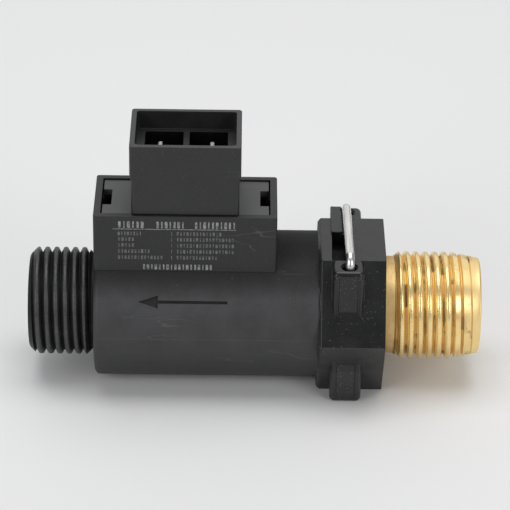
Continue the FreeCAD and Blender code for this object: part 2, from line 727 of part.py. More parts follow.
def piston_body():
    """White piston: nose, plate, magnet sleeve, four guide fins and a long stem."""
    sleeve_left = PISTON_RIGHT - SLEEVE_LENGTH
    body = revolved([
        (SEAT_FACE + NOSE_LENGTH, 0),
        (SEAT_FACE + NOSE_LENGTH, NOSE_TIP_RADIUS),
        (SEAT_FACE, NOSE_RADIUS),
        (PISTON_RIGHT, NOSE_RADIUS),
        (PISTON_RIGHT, PISTON_RADIUS),
        (sleeve_left, PISTON_RADIUS),
        (sleeve_left, PISTON_RADIUS - SLEEVE_WALL),
        (MAGNET_RIGHT, PISTON_RADIUS - SLEEVE_WALL),
        (MAGNET_RIGHT, STEM_RADIUS),
        (STEM_TIP, STEM_RADIUS),
        (STEM_TIP, 0),
    ])
    fins = []
    for count in range(FIN_COUNT):
        fin = box(
            PISTON_RIGHT - FIN_LENGTH, PISTON_RIGHT, -FIN_WIDTH / 2, FIN_WIDTH / 2,
            PISTON_RADIUS - SLEEVE_WALL / 2, FIN_REACH + CUT_BEYOND,
        )
        fins.append(turned(fin, 360 * count / FIN_COUNT))
    outside = ring(
        sleeve_left - CUT_BEYOND, SEAT_FACE, FIN_REACH + 2 * CUT_BEYOND, FIN_REACH,
    )
    return body.fuse(fins).cut(outside)


def piston_magnet():
    """Ferrite ring on the stem, inside the sleeve."""
    return ring(CAP_RIGHT, MAGNET_RIGHT, MAGNET_RADIUS, MAGNET_HOLE_RADIUS)


def magnet_cap():
    """Disc that closes the sleeve behind the magnet and takes the spring."""
    hole = STEM_RADIUS + SEAT_GAP
    return ring(CAP_LEFT, CAP_RIGHT, MAGNET_RADIUS, hole)


def stem_guide():
    """Three-armed spider at the chamber's end; its hub guides the stem."""
    rim = ring(CHAMBER_END, GUIDE_RIGHT, GUIDE_RADIUS, GUIDE_RADIUS - GUIDE_RIM_WALL)
    hub = round_bar(CHAMBER_END, GUIDE_RIGHT, GUIDE_HUB_RADIUS)
    arms = [hub]
    for count in range(GUIDE_ARM_COUNT):
        arm = box(
            CHAMBER_END, GUIDE_RIGHT, -GUIDE_ARM_WIDTH / 2, GUIDE_ARM_WIDTH / 2,
            0, GUIDE_RADIUS - GUIDE_RIM_WALL / 2,
        )
        arms.append(turned(arm, 360 * count / GUIDE_ARM_COUNT))
    bore = round_bar(
        CHAMBER_END - CUT_BEYOND, GUIDE_RIGHT + CUT_BEYOND, STEM_RADIUS + RUNNING_GAP,
    )
    return rim.fuse(arms).cut(bore)


def return_spring():
    """Coil that holds the piston against the seat."""
    free_length = CAP_LEFT - GUIDE_RIGHT - 2 * SPRING_WIRE_RADIUS
    path = Part.makeHelix(free_length / SPRING_TURNS, free_length, SPRING_RADIUS)
    section = Part.Wire(Part.makeCircle(
        SPRING_WIRE_RADIUS, FreeCAD.Vector(SPRING_RADIUS, 0, 0), FreeCAD.Vector(0, 1, 0),
    ))
    coil = Part.Wire(path).makePipeShell([section], True, True)
    coil.rotate(FreeCAD.Vector(0, 0, 0), FreeCAD.Vector(0, 1, 0), 90)
    coil.translate(FreeCAD.Vector(GUIDE_RIGHT + SPRING_WIRE_RADIUS, 0, 0))
    return coil


def rounded_column(half_length, half_depth, z_low, z_high, radius):
    """Upright block over the middle of the cover, with rounded corners."""
    block = box(
        BLOCK_MIDDLE - half_length, BLOCK_MIDDLE + half_length,
        -half_depth, half_depth, z_low, z_high,
    )
    return block.makeFillet(radius, upright_edges(block))


def shell_taper():
    """Bevel between the plain lower part of the shell and its wider collar."""
    sections = []
    for z, grow in ((SHELL_TAPER_BOTTOM, 0.0), (SHELL_COLLAR_BOTTOM, SHELL_STEP)):
        half_length = SHELL_LENGTH / 2 - SHELL_STEP + grow
        half_depth = SHELL_HALF_DEPTH - SHELL_STEP + grow
        slab = rounded_column(half_length, half_depth, z, z + JOIN_DEPTH, SHELL_EDGE_ROUND)
        bottom = [face for face in slab.Faces if abs(face.CenterOfMass.z - z) < 0.01]
        sections.append(bottom[0].OuterWire)
    return Part.makeLoft(sections, True, True)


def snap_hook(side):
    """Hook under one end of the cover; its barb grips below the ledge of the block."""
    plate_end = BLOCK_LENGTH / 2 - BLOCK_WALL - COVER_GAP
    outer = plate_end - NOTCH_LENGTH
    inner = outer - HOOK_THICKNESS
    bottom = COVER_BOTTOM - HOOK_DROP
    catch = COVER_BOTTOM - COVER_LEDGE_THICKNESS - HOOK_CATCH_GAP
    outline = [
        (inner, COVER_BOTTOM + COVER_THICKNESS / 2),
        (outer, COVER_BOTTOM + COVER_THICKNESS / 2),
        (outer, catch),
        (outer + HOOK_BARB, catch),
        (outer + HOOK_BARB, catch - HOOK_BARB_HEIGHT / 2),
        (outer, bottom),
        (inner, bottom),
    ]
    points = [
        FreeCAD.Vector(BLOCK_MIDDLE + side * x, -HOOK_HALF_WIDTH, z) for x, z in outline
    ]
    face = Part.Face(Part.makePolygon(points + points[:1]))
    return face.extrude(FreeCAD.Vector(0, 2 * HOOK_HALF_WIDTH, 0))


def switch_cover():
    """Cover plate and connector shell in one moulding, with a snap hook at each end."""
    plate_left = BLOCK_LEFT + BLOCK_WALL + COVER_GAP
    plate_right = BLOCK_RIGHT - BLOCK_WALL - COVER_GAP
    plate_half = BLOCK_HALF_DEPTH - BLOCK_WALL - COVER_GAP
    solid = box(plate_left, plate_right, -plate_half, plate_half, COVER_BOTTOM, COVER_TOP)
    lower_half_length = SHELL_LENGTH / 2 - SHELL_STEP
    lower_half_depth = SHELL_HALF_DEPTH - SHELL_STEP
    neck = rounded_column(
        lower_half_length, plate_half, COVER_BOTTOM, SHELL_BOTTOM + JOIN_DEPTH, SHELL_EDGE_ROUND,
    )
    lower = rounded_column(
        lower_half_length, lower_half_depth, SHELL_BOTTOM, SHELL_TAPER_BOTTOM, SHELL_EDGE_ROUND,
    )
    upper = rounded_column(
        SHELL_LENGTH / 2, SHELL_HALF_DEPTH, SHELL_COLLAR_BOTTOM, SHELL_TOP, SHELL_EDGE_ROUND,
    )
    upper = upper.makeFillet(RIM_EDGE_ROUND, edges_at_height(upper, SHELL_TOP))
    solid = solid.fuse([neck, lower, shell_taper(), upper, snap_hook(-1), snap_hook(1)])
    mouth = rounded_column(
        SHELL_LENGTH / 2 - SHELL_WALL, SHELL_HALF_DEPTH - SHELL_WALL,
        SHELL_LEDGE, SHELL_TOP + CUT_BEYOND, SHELL_EDGE_ROUND,
    )
    cutters = [mouth]
    for side in (-1, 1):
        near = BLOCK_MIDDLE + side * CAVITY_RIB / 2
        far = near + side * CAVITY_LENGTH
        cutters.append(box(
            min(near, far), max(near, far), -CAVITY_HALF_DEPTH, CAVITY_HALF_DEPTH,
            CAVITY_FLOOR, SHELL_LEDGE + CUT_BEYOND,
        ))
        cutters.append(tab_slot(side))
        plate_end = plate_right if side > 0 else plate_left
        notch_inner = plate_end - side * NOTCH_LENGTH
        cutters.append(box(
            min(plate_end, notch_inner) - (side < 0), max(plate_end, notch_inner) + (side > 0),
            -NOTCH_HALF_WIDTH, NOTCH_HALF_WIDTH, COVER_BOTTOM, COVER_TOP + CUT_BEYOND,
        ))
    return solid.cut(cutters)


def tab_x(side):
    return BLOCK_MIDDLE + side * TAB_SPACING / 2


def tab_slot(side):
    """Slot through the cover in which one tab is held."""
    half_thickness = TAB_THICKNESS / 2 + SEAT_GAP
    half_width = TAB_HALF_WIDTH + SEAT_GAP
    return box(
        tab_x(side) - half_thickness, tab_x(side) + half_thickness,
        -half_width, half_width, COVER_BOTTOM - CUT_BEYOND, CAVITY_FLOOR + CUT_BEYOND,
    )


def terminal_tab(side):
    """Flat tab with a bevelled tip and a narrow tail that goes through the board."""
    low = tab_x(side) - TAB_THICKNESS / 2
    high = tab_x(side) + TAB_THICKNESS / 2
    blade = box(low, high, -TAB_HALF_WIDTH, TAB_HALF_WIDTH, TAB_FOOT, TAB_TIP)
    tip_corners = [
        edge for edge in blade.Edges
        if abs(edge.CenterOfMass.z - TAB_TIP) < 0.01
        and abs(abs(edge.CenterOfMass.y) - TAB_HALF_WIDTH) < 0.01
    ]
    blade = blade.makeChamfer(TAB_TIP_CHAMFER, tip_corners)
    tip_sides = [
        edge for edge in blade.Edges
        if abs(edge.CenterOfMass.z - TAB_TIP) < 0.01 and abs(edge.CenterOfMass.y) < 0.01
    ]
    blade = blade.makeChamfer(TAB_TIP_BEVEL, tip_sides)
    return blade.fuse(tab_tail(side))


def tab_tail(side):
    low = tab_x(side) - TAB_THICKNESS / 2
    high = tab_x(side) + TAB_THICKNESS / 2
    return box(
        low, high, TAB_TAIL_Y - TAB_TAIL_WIDTH / 2, TAB_TAIL_Y + TAB_TAIL_WIDTH / 2,
        BOARD_BOTTOM - LOOSE_GAP, TAB_FOOT + LOOSE_GAP,
    )


def lead_x(side):
    return REED_X + side * LEAD_SPAN / 2


def circuit_board():
    """Glass-fibre board on the two pads, slotted for the tabs and drilled for the leads."""
    left = BLOCK_LEFT + BLOCK_WALL + COVER_LEDGE + BOARD_END_GAP
    right = BLOCK_RIGHT - BLOCK_WALL - COVER_LEDGE - BOARD_END_GAP
    board = box(left, right, -BOARD_HALF_DEPTH, BOARD_HALF_DEPTH, BOARD_BOTTOM, BOARD_TOP)
    cutters = []
    for side in (-1, 1):
        cutters.append(box(
            tab_x(side) - TAB_THICKNESS / 2 - SEAT_GAP,
            tab_x(side) + TAB_THICKNESS / 2 + SEAT_GAP,
            TAB_TAIL_Y - TAB_TAIL_WIDTH / 2 - SEAT_GAP,
            TAB_TAIL_Y + TAB_TAIL_WIDTH / 2 + SEAT_GAP,
            BOARD_BOTTOM - CUT_BEYOND, BOARD_TOP + CUT_BEYOND,
        ))
        start = FreeCAD.Vector(lead_x(side), 0, BOARD_BOTTOM - CUT_BEYOND)
        drill_length = BOARD_THICKNESS + 2 * CUT_BEYOND
        cutters.append(Part.makeCylinder(LEAD_RADIUS + SEAT_GAP, drill_length, start))
    return board.cut(cutters)


def solder_dome(x, y, half_length, half_width):
    """Sloping pad of solder on the board."""
    sections = []
    for z, shrink in ((BOARD_TOP, 0.0), (BOARD_TOP + SOLDER_HEIGHT, SOLDER_SLOPE)):
        points = [
            FreeCAD.Vector(x + sx * (half_length - shrink), y + sy * (half_width - shrink), z)
            for sx, sy in ((-1, -1), (1, -1), (1, 1), (-1, 1))
        ]
        sections.append(Part.makePolygon(points + points[:1]))
    return Part.makeLoft(sections, True, True)


def tab_solder(side):
    dome = solder_dome(
        tab_x(side), TAB_TAIL_Y,
        TAB_THICKNESS / 2 + SOLDER_MARGIN, TAB_TAIL_WIDTH / 2 + SOLDER_MARGIN,
    )
    return dome.cut(tab_tail(side))


def lead_solder(side):
    half = LEAD_RADIUS + SOLDER_MARGIN
    dome = solder_dome(lead_x(side), 0, half, half)
    return dome.cut(lead_wire(side))


def lead_wire(side):
    """Bent lead: out of the glass seal, along the pocket and up through the board."""
    inner_end = REED_X + side * (REED_LENGTH / 2 - REED_SEAL_LENGTH)
    outer_end = lead_x(side)
    flat_run = round_bar(
        min(inner_end, outer_end), max(inner_end, outer_end), LEAD_RADIUS, z=REED_Z,
    )
    corner = Part.makeSphere(LEAD_RADIUS, FreeCAD.Vector(outer_end, 0, REED_Z))
    rise = BOARD_TOP + LEAD_PROUD + SOLDER_HEIGHT - REED_Z
    upright = Part.makeCylinder(LEAD_RADIUS, rise, FreeCAD.Vector(outer_end, 0, REED_Z))
    return flat_run.fuse([corner, upright])


def blade_length():
    cavity = REED_LENGTH - 2 * REED_SEAL_LENGTH
    return (cavity + BLADE_OVERLAP) / 2


def reed_lead_left():
    """Fixed lead; inside the glass it carries the lower contact blade."""
    start = REED_X - REED_LENGTH / 2 + REED_SEAL_LENGTH
    blade_top = REED_Z - BLADE_GAP / 2
    blade = box(
        start, start + blade_length(), -BLADE_HALF_WIDTH, BLADE_HALF_WIDTH,
        blade_top - BLADE_THICKNESS, blade_top,
    )
    root = round_bar(
        start - BLADE_ROOT_LENGTH, start + BLADE_ROOT_LENGTH, LEAD_RADIUS, z=REED_Z,
    )
    blade_root = root.cut(box(
        start, start + CUT_BEYOND, -CUT_BEYOND, CUT_BEYOND,
        blade_top - BLADE_THICKNESS / 2, REED_Z + CUT_BEYOND,
    ))
    return lead_wire(-1).fuse([blade, blade_root])


def reed_lead_right():
    """Lead behind the springy blade."""
    return lead_wire(1)


def reed_armature():
    """Springy contact blade, fixed at the right-hand seal."""
    root = REED_X + REED_LENGTH / 2 - REED_SEAL_LENGTH - BLADE_ROOT_GAP
    bottom = REED_Z + BLADE_GAP / 2
    return box(
        root - blade_length(), root, -BLADE_HALF_WIDTH, BLADE_HALF_WIDTH,
        bottom, bottom + BLADE_THICKNESS,
    )


def reed_glass():
    """Sealed glass tube round both blades."""
    half = REED_LENGTH / 2
    tube = round_bar(REED_X - half, REED_X + half, REED_RADIUS, z=REED_Z)
    tube = tube.makeFillet(REED_RADIUS / 2, [edge for edge in tube.Edges if is_rim(edge)])
    cavity = round_bar(
        REED_X - half + REED_SEAL_LENGTH, REED_X + half - REED_SEAL_LENGTH,
        REED_RADIUS - REED_WALL, z=REED_Z,
    )
    lead_hole = round_bar(
        REED_X - half - CUT_BEYOND, REED_X + half + CUT_BEYOND,
        LEAD_RADIUS + SEAT_GAP / 2, z=REED_Z,
    )
    return tube.cut([cavity, lead_hole])


PIECES = {
    "body_housing": body_housing(),
    "inlet_nipple": inlet_nipple(),
    "nipple_o_ring": nipple_o_ring(),
    "strainer_frame": strainer_frame(),
    "strainer_mesh": strainer_mesh(),
    "retaining_clip": retaining_clip(),
    "seat_ring": seat_ring(),
    "seat_o_ring": seat_o_ring(),
    "piston_washer": piston_washer(),
    "piston_body": piston_body(),
    "piston_magnet": piston_magnet(),
    "magnet_cap": magnet_cap(),
    "stem_guide": stem_guide(),
    "return_spring": return_spring(),
    "switch_cover": switch_cover(),
    "terminal_tab_left": terminal_tab(-1),
    "terminal_tab_right": terminal_tab(1),
    "circuit_board": circuit_board(),
    "tab_solder_left": tab_solder(-1),
    "tab_solder_right": tab_solder(1),
    "lead_solder_left": lead_solder(-1),
    "lead_solder_right": lead_solder(1),
    "reed_glass": reed_glass(),
    "reed_lead_left": reed_lead_left(),
    "reed_lead_right": reed_lead_right(),
    "reed_armature": reed_armature(),
}

for node, shape in PIECES.items():
    shape.exportStep(f"parts/{node}.step")
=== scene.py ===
import json
import math

import bmesh
import bpy
from mathutils import Matrix, Vector


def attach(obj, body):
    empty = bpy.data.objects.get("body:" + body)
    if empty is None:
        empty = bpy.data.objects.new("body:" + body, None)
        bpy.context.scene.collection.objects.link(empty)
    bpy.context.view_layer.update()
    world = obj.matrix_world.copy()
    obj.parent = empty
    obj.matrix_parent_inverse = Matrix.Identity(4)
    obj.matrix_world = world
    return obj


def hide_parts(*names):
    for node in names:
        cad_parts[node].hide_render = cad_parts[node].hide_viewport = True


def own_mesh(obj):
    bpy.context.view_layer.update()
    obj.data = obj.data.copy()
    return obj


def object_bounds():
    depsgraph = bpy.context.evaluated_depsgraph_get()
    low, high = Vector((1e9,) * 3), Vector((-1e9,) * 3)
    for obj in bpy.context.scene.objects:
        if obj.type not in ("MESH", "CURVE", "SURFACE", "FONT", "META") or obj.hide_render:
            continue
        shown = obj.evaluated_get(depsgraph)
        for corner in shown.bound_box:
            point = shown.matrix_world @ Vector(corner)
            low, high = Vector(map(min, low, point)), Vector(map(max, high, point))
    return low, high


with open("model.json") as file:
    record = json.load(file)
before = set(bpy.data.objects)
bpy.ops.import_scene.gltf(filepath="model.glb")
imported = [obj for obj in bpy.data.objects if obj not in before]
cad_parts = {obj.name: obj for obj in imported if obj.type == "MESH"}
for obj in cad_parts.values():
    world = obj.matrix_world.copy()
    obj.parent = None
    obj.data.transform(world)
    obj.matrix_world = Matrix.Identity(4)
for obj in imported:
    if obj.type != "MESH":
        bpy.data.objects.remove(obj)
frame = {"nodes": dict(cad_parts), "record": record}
cad_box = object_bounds()
nodes = frame["nodes"]
node_bodies = {
    node: body for body, members in frame["record"]["behaviour"]["bodies"].items() for node in members
}


# The housing is one black moulding of glass-filled nylon: threaded outlet, barrel, switch
# block and the six-sided collar for the wire clip. The mould was eroded to a fine grain and
# the collar polished, and handling has left dust, hairline scratches and worn edges. Light
# and shade are also painted into its colour: up the barrel, low on the collar, on the crests
# of the thread and on the edges, and painted shade in the recess beside the clip.
MM = 0.001
FAR = 1.0
COLLAR_LEFT = -31.6 * MM
BARREL_LEFT = -74.7 * MM
BARREL_RADIUS = 14.3 * MM
BARREL_SKIN = 0.12 * MM
BORES_WITHIN = 11.3 * MM
THREAD_DIRTY = 10.05 * MM
THREAD_CREST_RUBBED_AND_HIGHLIT = 10.40 * MM
ARROW_LEFT = -66.6 * MM
ARROW_RIGHT = -48.4 * MM
ARROW_DEEPEST = 13.8 * MM
ARROW_HIGHEST = 14.15 * MM
RECESS_LEFT = -29.1 * MM
RECESS_RIGHT = -25.6 * MM
RECESS_INNER = 12.3 * MM
RECESS_OUTER = 12.8 * MM
RECESS_FOOT = 8.0 * MM
DUST_AND_REFLECTION_BELOW = -7.4 * MM
DUSTY_FRONT = -8.5 * MM
PARTING_LINE = 0.05 * MM
STEP_FADE = 0.05 * MM
COLLAR_FADE = 0.12 * MM
THREAD_FADE = 0.1 * MM
BLOCK_DARK = (0.0095, 0.0096, 0.0103)
BLOCK_LIGHT = (0.0150, 0.0152, 0.0162)
BARREL_DARK = (0.0310, 0.0312, 0.0326)
BARREL_LIGHT = (0.0520, 0.0524, 0.0545)
BARREL_PAINTED_LIGHT_AND_SHADE = ((0.30, 0.56), (0.62, 0.85), (0.76, 1.0), (0.87, 0.30), (0.97, 0.08))
BARREL_SHEENS = ((0.30, 0.46), (0.70, 0.50), (0.86, 0.30), (0.97, 0.16))
POLISHED_DARK = (0.0020, 0.0021, 0.0024)
POLISHED_LIGHT = (0.0045, 0.0047, 0.0052)
DUST_AND_FLOOR_REFLECTION = (0.0160, 0.0161, 0.0166)
RECESS_PAINTED_SHADE = (0.0020, 0.0020, 0.0022)
ARROW_BLACK = (0.004, 0.004, 0.0045)
THREAD_RUBBED_AND_HIGHLIT = (0.060, 0.061, 0.063)
NYLON_SCRATCH = (0.10, 0.101, 0.104)
NYLON_DUST = (0.24, 0.24, 0.235)
EDGE_WORN_AND_HIGHLIT_DARK = (0.080, 0.081, 0.083)
EDGE_WORN_AND_HIGHLIT_LIGHT = (0.200, 0.202, 0.206)
PLAIN_SHEEN = 0.5
MERGE_GAP = 0.002 * MM
EDGE_BREAK = 0.1 * MM
SHORTEST_BROKEN = 5
CORNER_ANGLE = math.radians(35)


def dressed(node, name, edge_break=0.0, left_alone=None):
    """Copy of a solid with its points merged and its long sharp edges broken by a narrow face."""
    bpy.ops.object.select_all(action="DESELECT")
    piece = bpy.data.objects.new(name, nodes[node].data.copy())
    bpy.context.collection.objects.link(piece)
    piece.data.materials.clear()
    bpy.context.view_layer.objects.active = piece
    piece.select_set(True)
    bpy.ops.mesh.customdata_custom_splitnormals_clear()
    bpy.ops.object.mode_set(mode="EDIT")
    bpy.ops.mesh.select_mode(type="VERT")
    bpy.ops.mesh.select_all(action="SELECT")
    bpy.ops.mesh.remove_doubles(threshold=MERGE_GAP)
    if edge_break:
        bpy.ops.mesh.select_all(action="DESELECT")
        bpy.ops.mesh.select_mode(type="EDGE")
        bpy.ops.mesh.edges_select_sharp(sharpness=CORNER_ANGLE)
        shape = bmesh.from_edit_mesh(piece.data)
        for edge in shape.edges:
            kept_sharp = left_alone is not None and any(left_alone(point.co) for point in edge.verts)
            long_enough = edge.calc_length() > SHORTEST_BROKEN * edge_break
            edge.select = edge.select and not kept_sharp and long_enough
        bmesh.update_edit_mesh(piece.data)
        bpy.ops.mesh.bevel(
            offset=edge_break, segments=2, affect="EDGES", clamp_overlap=False, material=1
        )
    bpy.ops.object.mode_set(mode="OBJECT")
    bpy.ops.object.shade_smooth_by_angle(angle=CORNER_ANGLE)
    even = piece.modifiers.new("even_faces", "WEIGHTED_NORMAL")
    even.keep_sharp = True
    bpy.ops.object.modifier_apply(modifier="even_faces")
    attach(piece, node_bodies[node])
    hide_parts(node)
    return piece


def new_material(name):
    """Material with an empty node tree that already holds the shader and its output."""
    material = bpy.data.materials.new(name)
    material.use_nodes = True
    tree = material.node_tree
    tree.nodes.clear()
    output = tree.nodes.new("ShaderNodeOutputMaterial")
    shader = tree.nodes.new("ShaderNodeBsdfPrincipled")
    tree.links.new(shader.outputs["BSDF"], output.inputs["Surface"])
    return material, tree, shader


def object_point(tree, stretch=(1, 1, 1)):
    """Object coordinates, stretched where a pattern runs along one axis."""
    place = tree.nodes.new("ShaderNodeTexCoord")
    mapping = tree.nodes.new("ShaderNodeMapping")
    mapping.inputs["Scale"].default_value = stretch
    tree.links.new(place.outputs["Object"], mapping.inputs["Vector"])
    return mapping.outputs["Vector"]


def noise(tree, point, grain_size, detail=3.0, roughness=0.55):
    """Cloudy pattern whose patches are about grain_size metres across."""
    texture = tree.nodes.new("ShaderNodeTexNoise")
    texture.inputs["Scale"].default_value = 1 / grain_size
    texture.inputs["Detail"].default_value = detail
    texture.inputs["Roughness"].default_value = roughness
    tree.links.new(point, texture.inputs["Vector"])
    return texture.outputs["Fac"]


def grey(value):
    """Plain grey of one brightness."""
    return (value, value, value)


def graded(tree, factor, stops):
    """Colour ramp through stops, each a position and a grey value or a colour."""
    ramp = tree.nodes.new("ShaderNodeValToRGB")
    elements = ramp.color_ramp.elements
    while len(elements) < len(stops):
        elements.new(0.5)
    for element, (position, value) in zip(elements, stops):
        element.position = position
        if isinstance(value, (int, float)):
            value = grey(value)
        element.color = (*value, 1.0)
    tree.links.new(factor, ramp.inputs["Fac"])
    return ramp.outputs["Color"]


def spread(tree, pattern, low, high):
    """Values from low to high, greys or colours, over the middle of a pattern."""
    return graded(tree, pattern, ((0.3, low), (0.7, high)))


def blended(tree, factor, first, second, mode="MIX"):
    """Mix of two colours, each a socket or a plain colour."""
    mix = tree.nodes.new("ShaderNodeMix")
    mix.data_type = "RGBA"
    mix.blend_type = mode
    for socket, value in ((mix.inputs[0], factor), (mix.inputs[6], first), (mix.inputs[7], second)):
        if isinstance(value, bpy.types.NodeSocket):
            tree.links.new(value, socket)
        elif isinstance(value, (int, float)):
            socket.default_value = value
        else:
            socket.default_value = (*value, 1.0)
    return mix.outputs[2]


def worked(tree, operation, first, second=0.0):
    """Sum of two values, or another operation on them, each a socket or a number."""
    sums = tree.nodes.new("ShaderNodeMath")
    sums.operation = operation
    for socket, value in zip(sums.inputs, (first, second)):
        if isinstance(value, bpy.types.NodeSocket):
            tree.links.new(value, socket)
        else:
            socket.default_value = value
    return sums.outputs["Value"]


def times(tree, first, second):
    """Product of two values, each a socket or a number."""
    return worked(tree, "MULTIPLY", first, second)


def between(tree, value, low, high, soft):
    """1 where a length in metres lies between low and high, fading to 0 over soft."""
    rise = tree.nodes.new("ShaderNodeMapRange")
    rise.inputs["From Min"].default_value = low - soft
    rise.inputs["From Max"].default_value = low + soft
    tree.links.new(value, rise.inputs["Value"])
    fall = tree.nodes.new("ShaderNodeMapRange")
    fall.inputs["From Min"].default_value = high + soft
    fall.inputs["From Max"].default_value = high - soft
    tree.links.new(value, fall.inputs["Value"])
    return times(tree, rise.outputs["Result"], fall.outputs["Result"])


def coordinate(tree, point, axis):
    """The X, Y or Z of a point."""
    parts = tree.nodes.new("ShaderNodeSeparateXYZ")
    tree.links.new(point, parts.inputs["Vector"])
    return parts.outputs[axis]


def band(tree, point, axis, low, high, soft):
    """1 where the X, Y or Z of a point lies between low and high, fading to 0 over soft."""
    return between(tree, coordinate(tree, point, axis), low, high, soft)


def axis_radius(tree, point):
    """Distance from the flow axis, in metres."""
    flat = tree.nodes.new("ShaderNodeVectorMath")
    flat.operation = "MULTIPLY"
    flat.inputs[1].default_value = (0, 1, 1)
    tree.links.new(point, flat.inputs[0])
    size = tree.nodes.new("ShaderNodeVectorMath")
    size.operation = "LENGTH"
    tree.links.new(flat.outputs["Vector"], size.inputs[0])
    return size.outputs["Value"]


def radial_band(tree, point, inner, outer, soft):
    """1 between two distances from the flow axis, fading to 0 over soft."""
    return between(tree, axis_radius(tree, point), inner, outer, soft)


def bumped(tree, shader, layers):
    """Stacks bump layers, each a height socket and its depth in metres."""
    normal = None
    for height, depth in layers:
        bump = tree.nodes.new("ShaderNodeBump")
        bump.inputs["Distance"].default_value = depth
        tree.links.new(height, bump.inputs["Height"])
        if normal is not None:
            tree.links.new(normal, bump.inputs["Normal"])
        normal = bump.outputs["Normal"]
    tree.links.new(normal, shader.inputs["Normal"])


def hairlines(tree, point, size, width, seldom):
    """Thin curved scratches: the contour lines of a cloud, kept only in a few patches."""
    cloud = noise(tree, point, size, 2.0, 0.5)
    line = worked(tree, "ABSOLUTE", worked(tree, "SUBTRACT", cloud, 0.5))
    thin = graded(tree, line, ((0.0, 1.0), (width, 0.0)))
    patch = graded(tree, noise(tree, point, size * 1.7, 1.0), ((seldom, 0.0), (seldom + 0.06, 1.0)))
    return blended(tree, 1.0, thin, patch, "MULTIPLY")


def dust_specks(tree, point, spacing, size):
    """Sparse round specks of uneven brightness."""
    cells = tree.nodes.new("ShaderNodeTexVoronoi")
    cells.inputs["Scale"].default_value = 1 / spacing
    tree.links.new(point, cells.inputs["Vector"])
    dot = graded(tree, cells.outputs["Distance"], ((size * 0.5, 1.0), (size, 0.0)))
    few = graded(tree, cells.outputs["Color"], ((0.55, 0.0), (0.95, 1.0)))
    return blended(tree, 1.0, dot, few, "MULTIPLY")


def moulded_nylon(name, tint, roughness, sheen=None):
    """Black nylon in the given tint, with grain, glints, dust and scratches over it."""
    material, tree, shader = new_material(name)
    point = object_point(tree)
    mottle = noise(tree, point, 5 * MM, 5.0, 0.6)
    grain = noise(tree, point, 0.34 * MM, 2.0)
    base = tint(tree, point, mottle)
    glint = graded(tree, grain, ((0.55, 0.0), (0.85, 0.16)))
    base = blended(tree, glint, base, NYLON_SCRATCH)
    drag = object_point(tree, (0.16, 1.0, 0.8))
    scratches = hairlines(tree, drag, 2.6 * MM, 0.012, 0.60)
    base = blended(tree, times(tree, scratches, 0.45), base, NYLON_SCRATCH)
    specks = dust_specks(tree, point, 1.3 * MM, 0.09)
    base = blended(tree, times(tree, specks, 0.5), base, NYLON_DUST)
    tree.links.new(base, shader.inputs["Base Color"])
    tree.links.new(roughness(tree, point, mottle), shader.inputs["Roughness"])
    shader.inputs["IOR"].default_value = 1.53
    if sheen:
        tree.links.new(sheen(tree, point), shader.inputs["Specular IOR Level"])
    bumped(tree, shader, ((grain, 0.014 * MM), (mottle, 0.05 * MM), (scratches, -0.01 * MM)))
    return material


def collar_part(tree, point):
    """The run of the six-sided collar."""
    return band(tree, point, "X", COLLAR_LEFT, 0, COLLAR_FADE)


def outlet_part(tree, point):
    """The run of the outlet thread, beyond the shoulder of the barrel."""
    return band(tree, point, "X", -FAR, BARREL_LEFT - THREAD_FADE, THREAD_FADE)


def round_part(tree, point):
    """All that lies no further out than the skin of the barrel."""
    return radial_band(tree, point, 0, BARREL_RADIUS + BARREL_SKIN, STEP_FADE)


def polished_places(tree, point):
    """The collar, and in part the thread, where the mould was polished."""
    thread = times(tree, outlet_part(tree, point), 0.55)
    return worked(tree, "ADD", collar_part(tree, point), thread)


def collar_front(tree, point):
    """The front facets of the collar, where fine dust clings, fading to the back."""
    front = band(tree, point, "Y", -FAR, DUSTY_FRONT, 1.0 * MM)
    return times(tree, collar_part(tree, point), front)


def arrow_floor(tree, point):
    """The sunk floor of the flow arrow, coloured near black and made duller."""
    run = band(tree, point, "X", ARROW_LEFT, ARROW_RIGHT, STEP_FADE)
    return times(tree, run, radial_band(tree, point, ARROW_DEEPEST, ARROW_HIGHEST, STEP_FADE))


def recess_floor(tree, point):
    """The round floor of the recess beside the clip, where shade is painted in."""
    run = band(tree, point, "X", RECESS_LEFT, RECESS_RIGHT, STEP_FADE)
    run = times(tree, run, radial_band(tree, point, RECESS_INNER, RECESS_OUTER, STEP_FADE))
    return times(tree, run, band(tree, point, "Z", RECESS_FOOT, FAR, 0.3 * MM))


def barrel_height(tree, point, stops):
    """Values that change up the barrel, from 0 at its lowest line to 1 at its top."""
    rise = tree.nodes.new("ShaderNodeMapRange")
    rise.inputs["From Min"].default_value = -BARREL_RADIUS
    rise.inputs["From Max"].default_value = BARREL_RADIUS
    tree.links.new(coordinate(tree, point, "Z"), rise.inputs["Value"])
    return graded(tree, rise.outputs["Result"], stops)


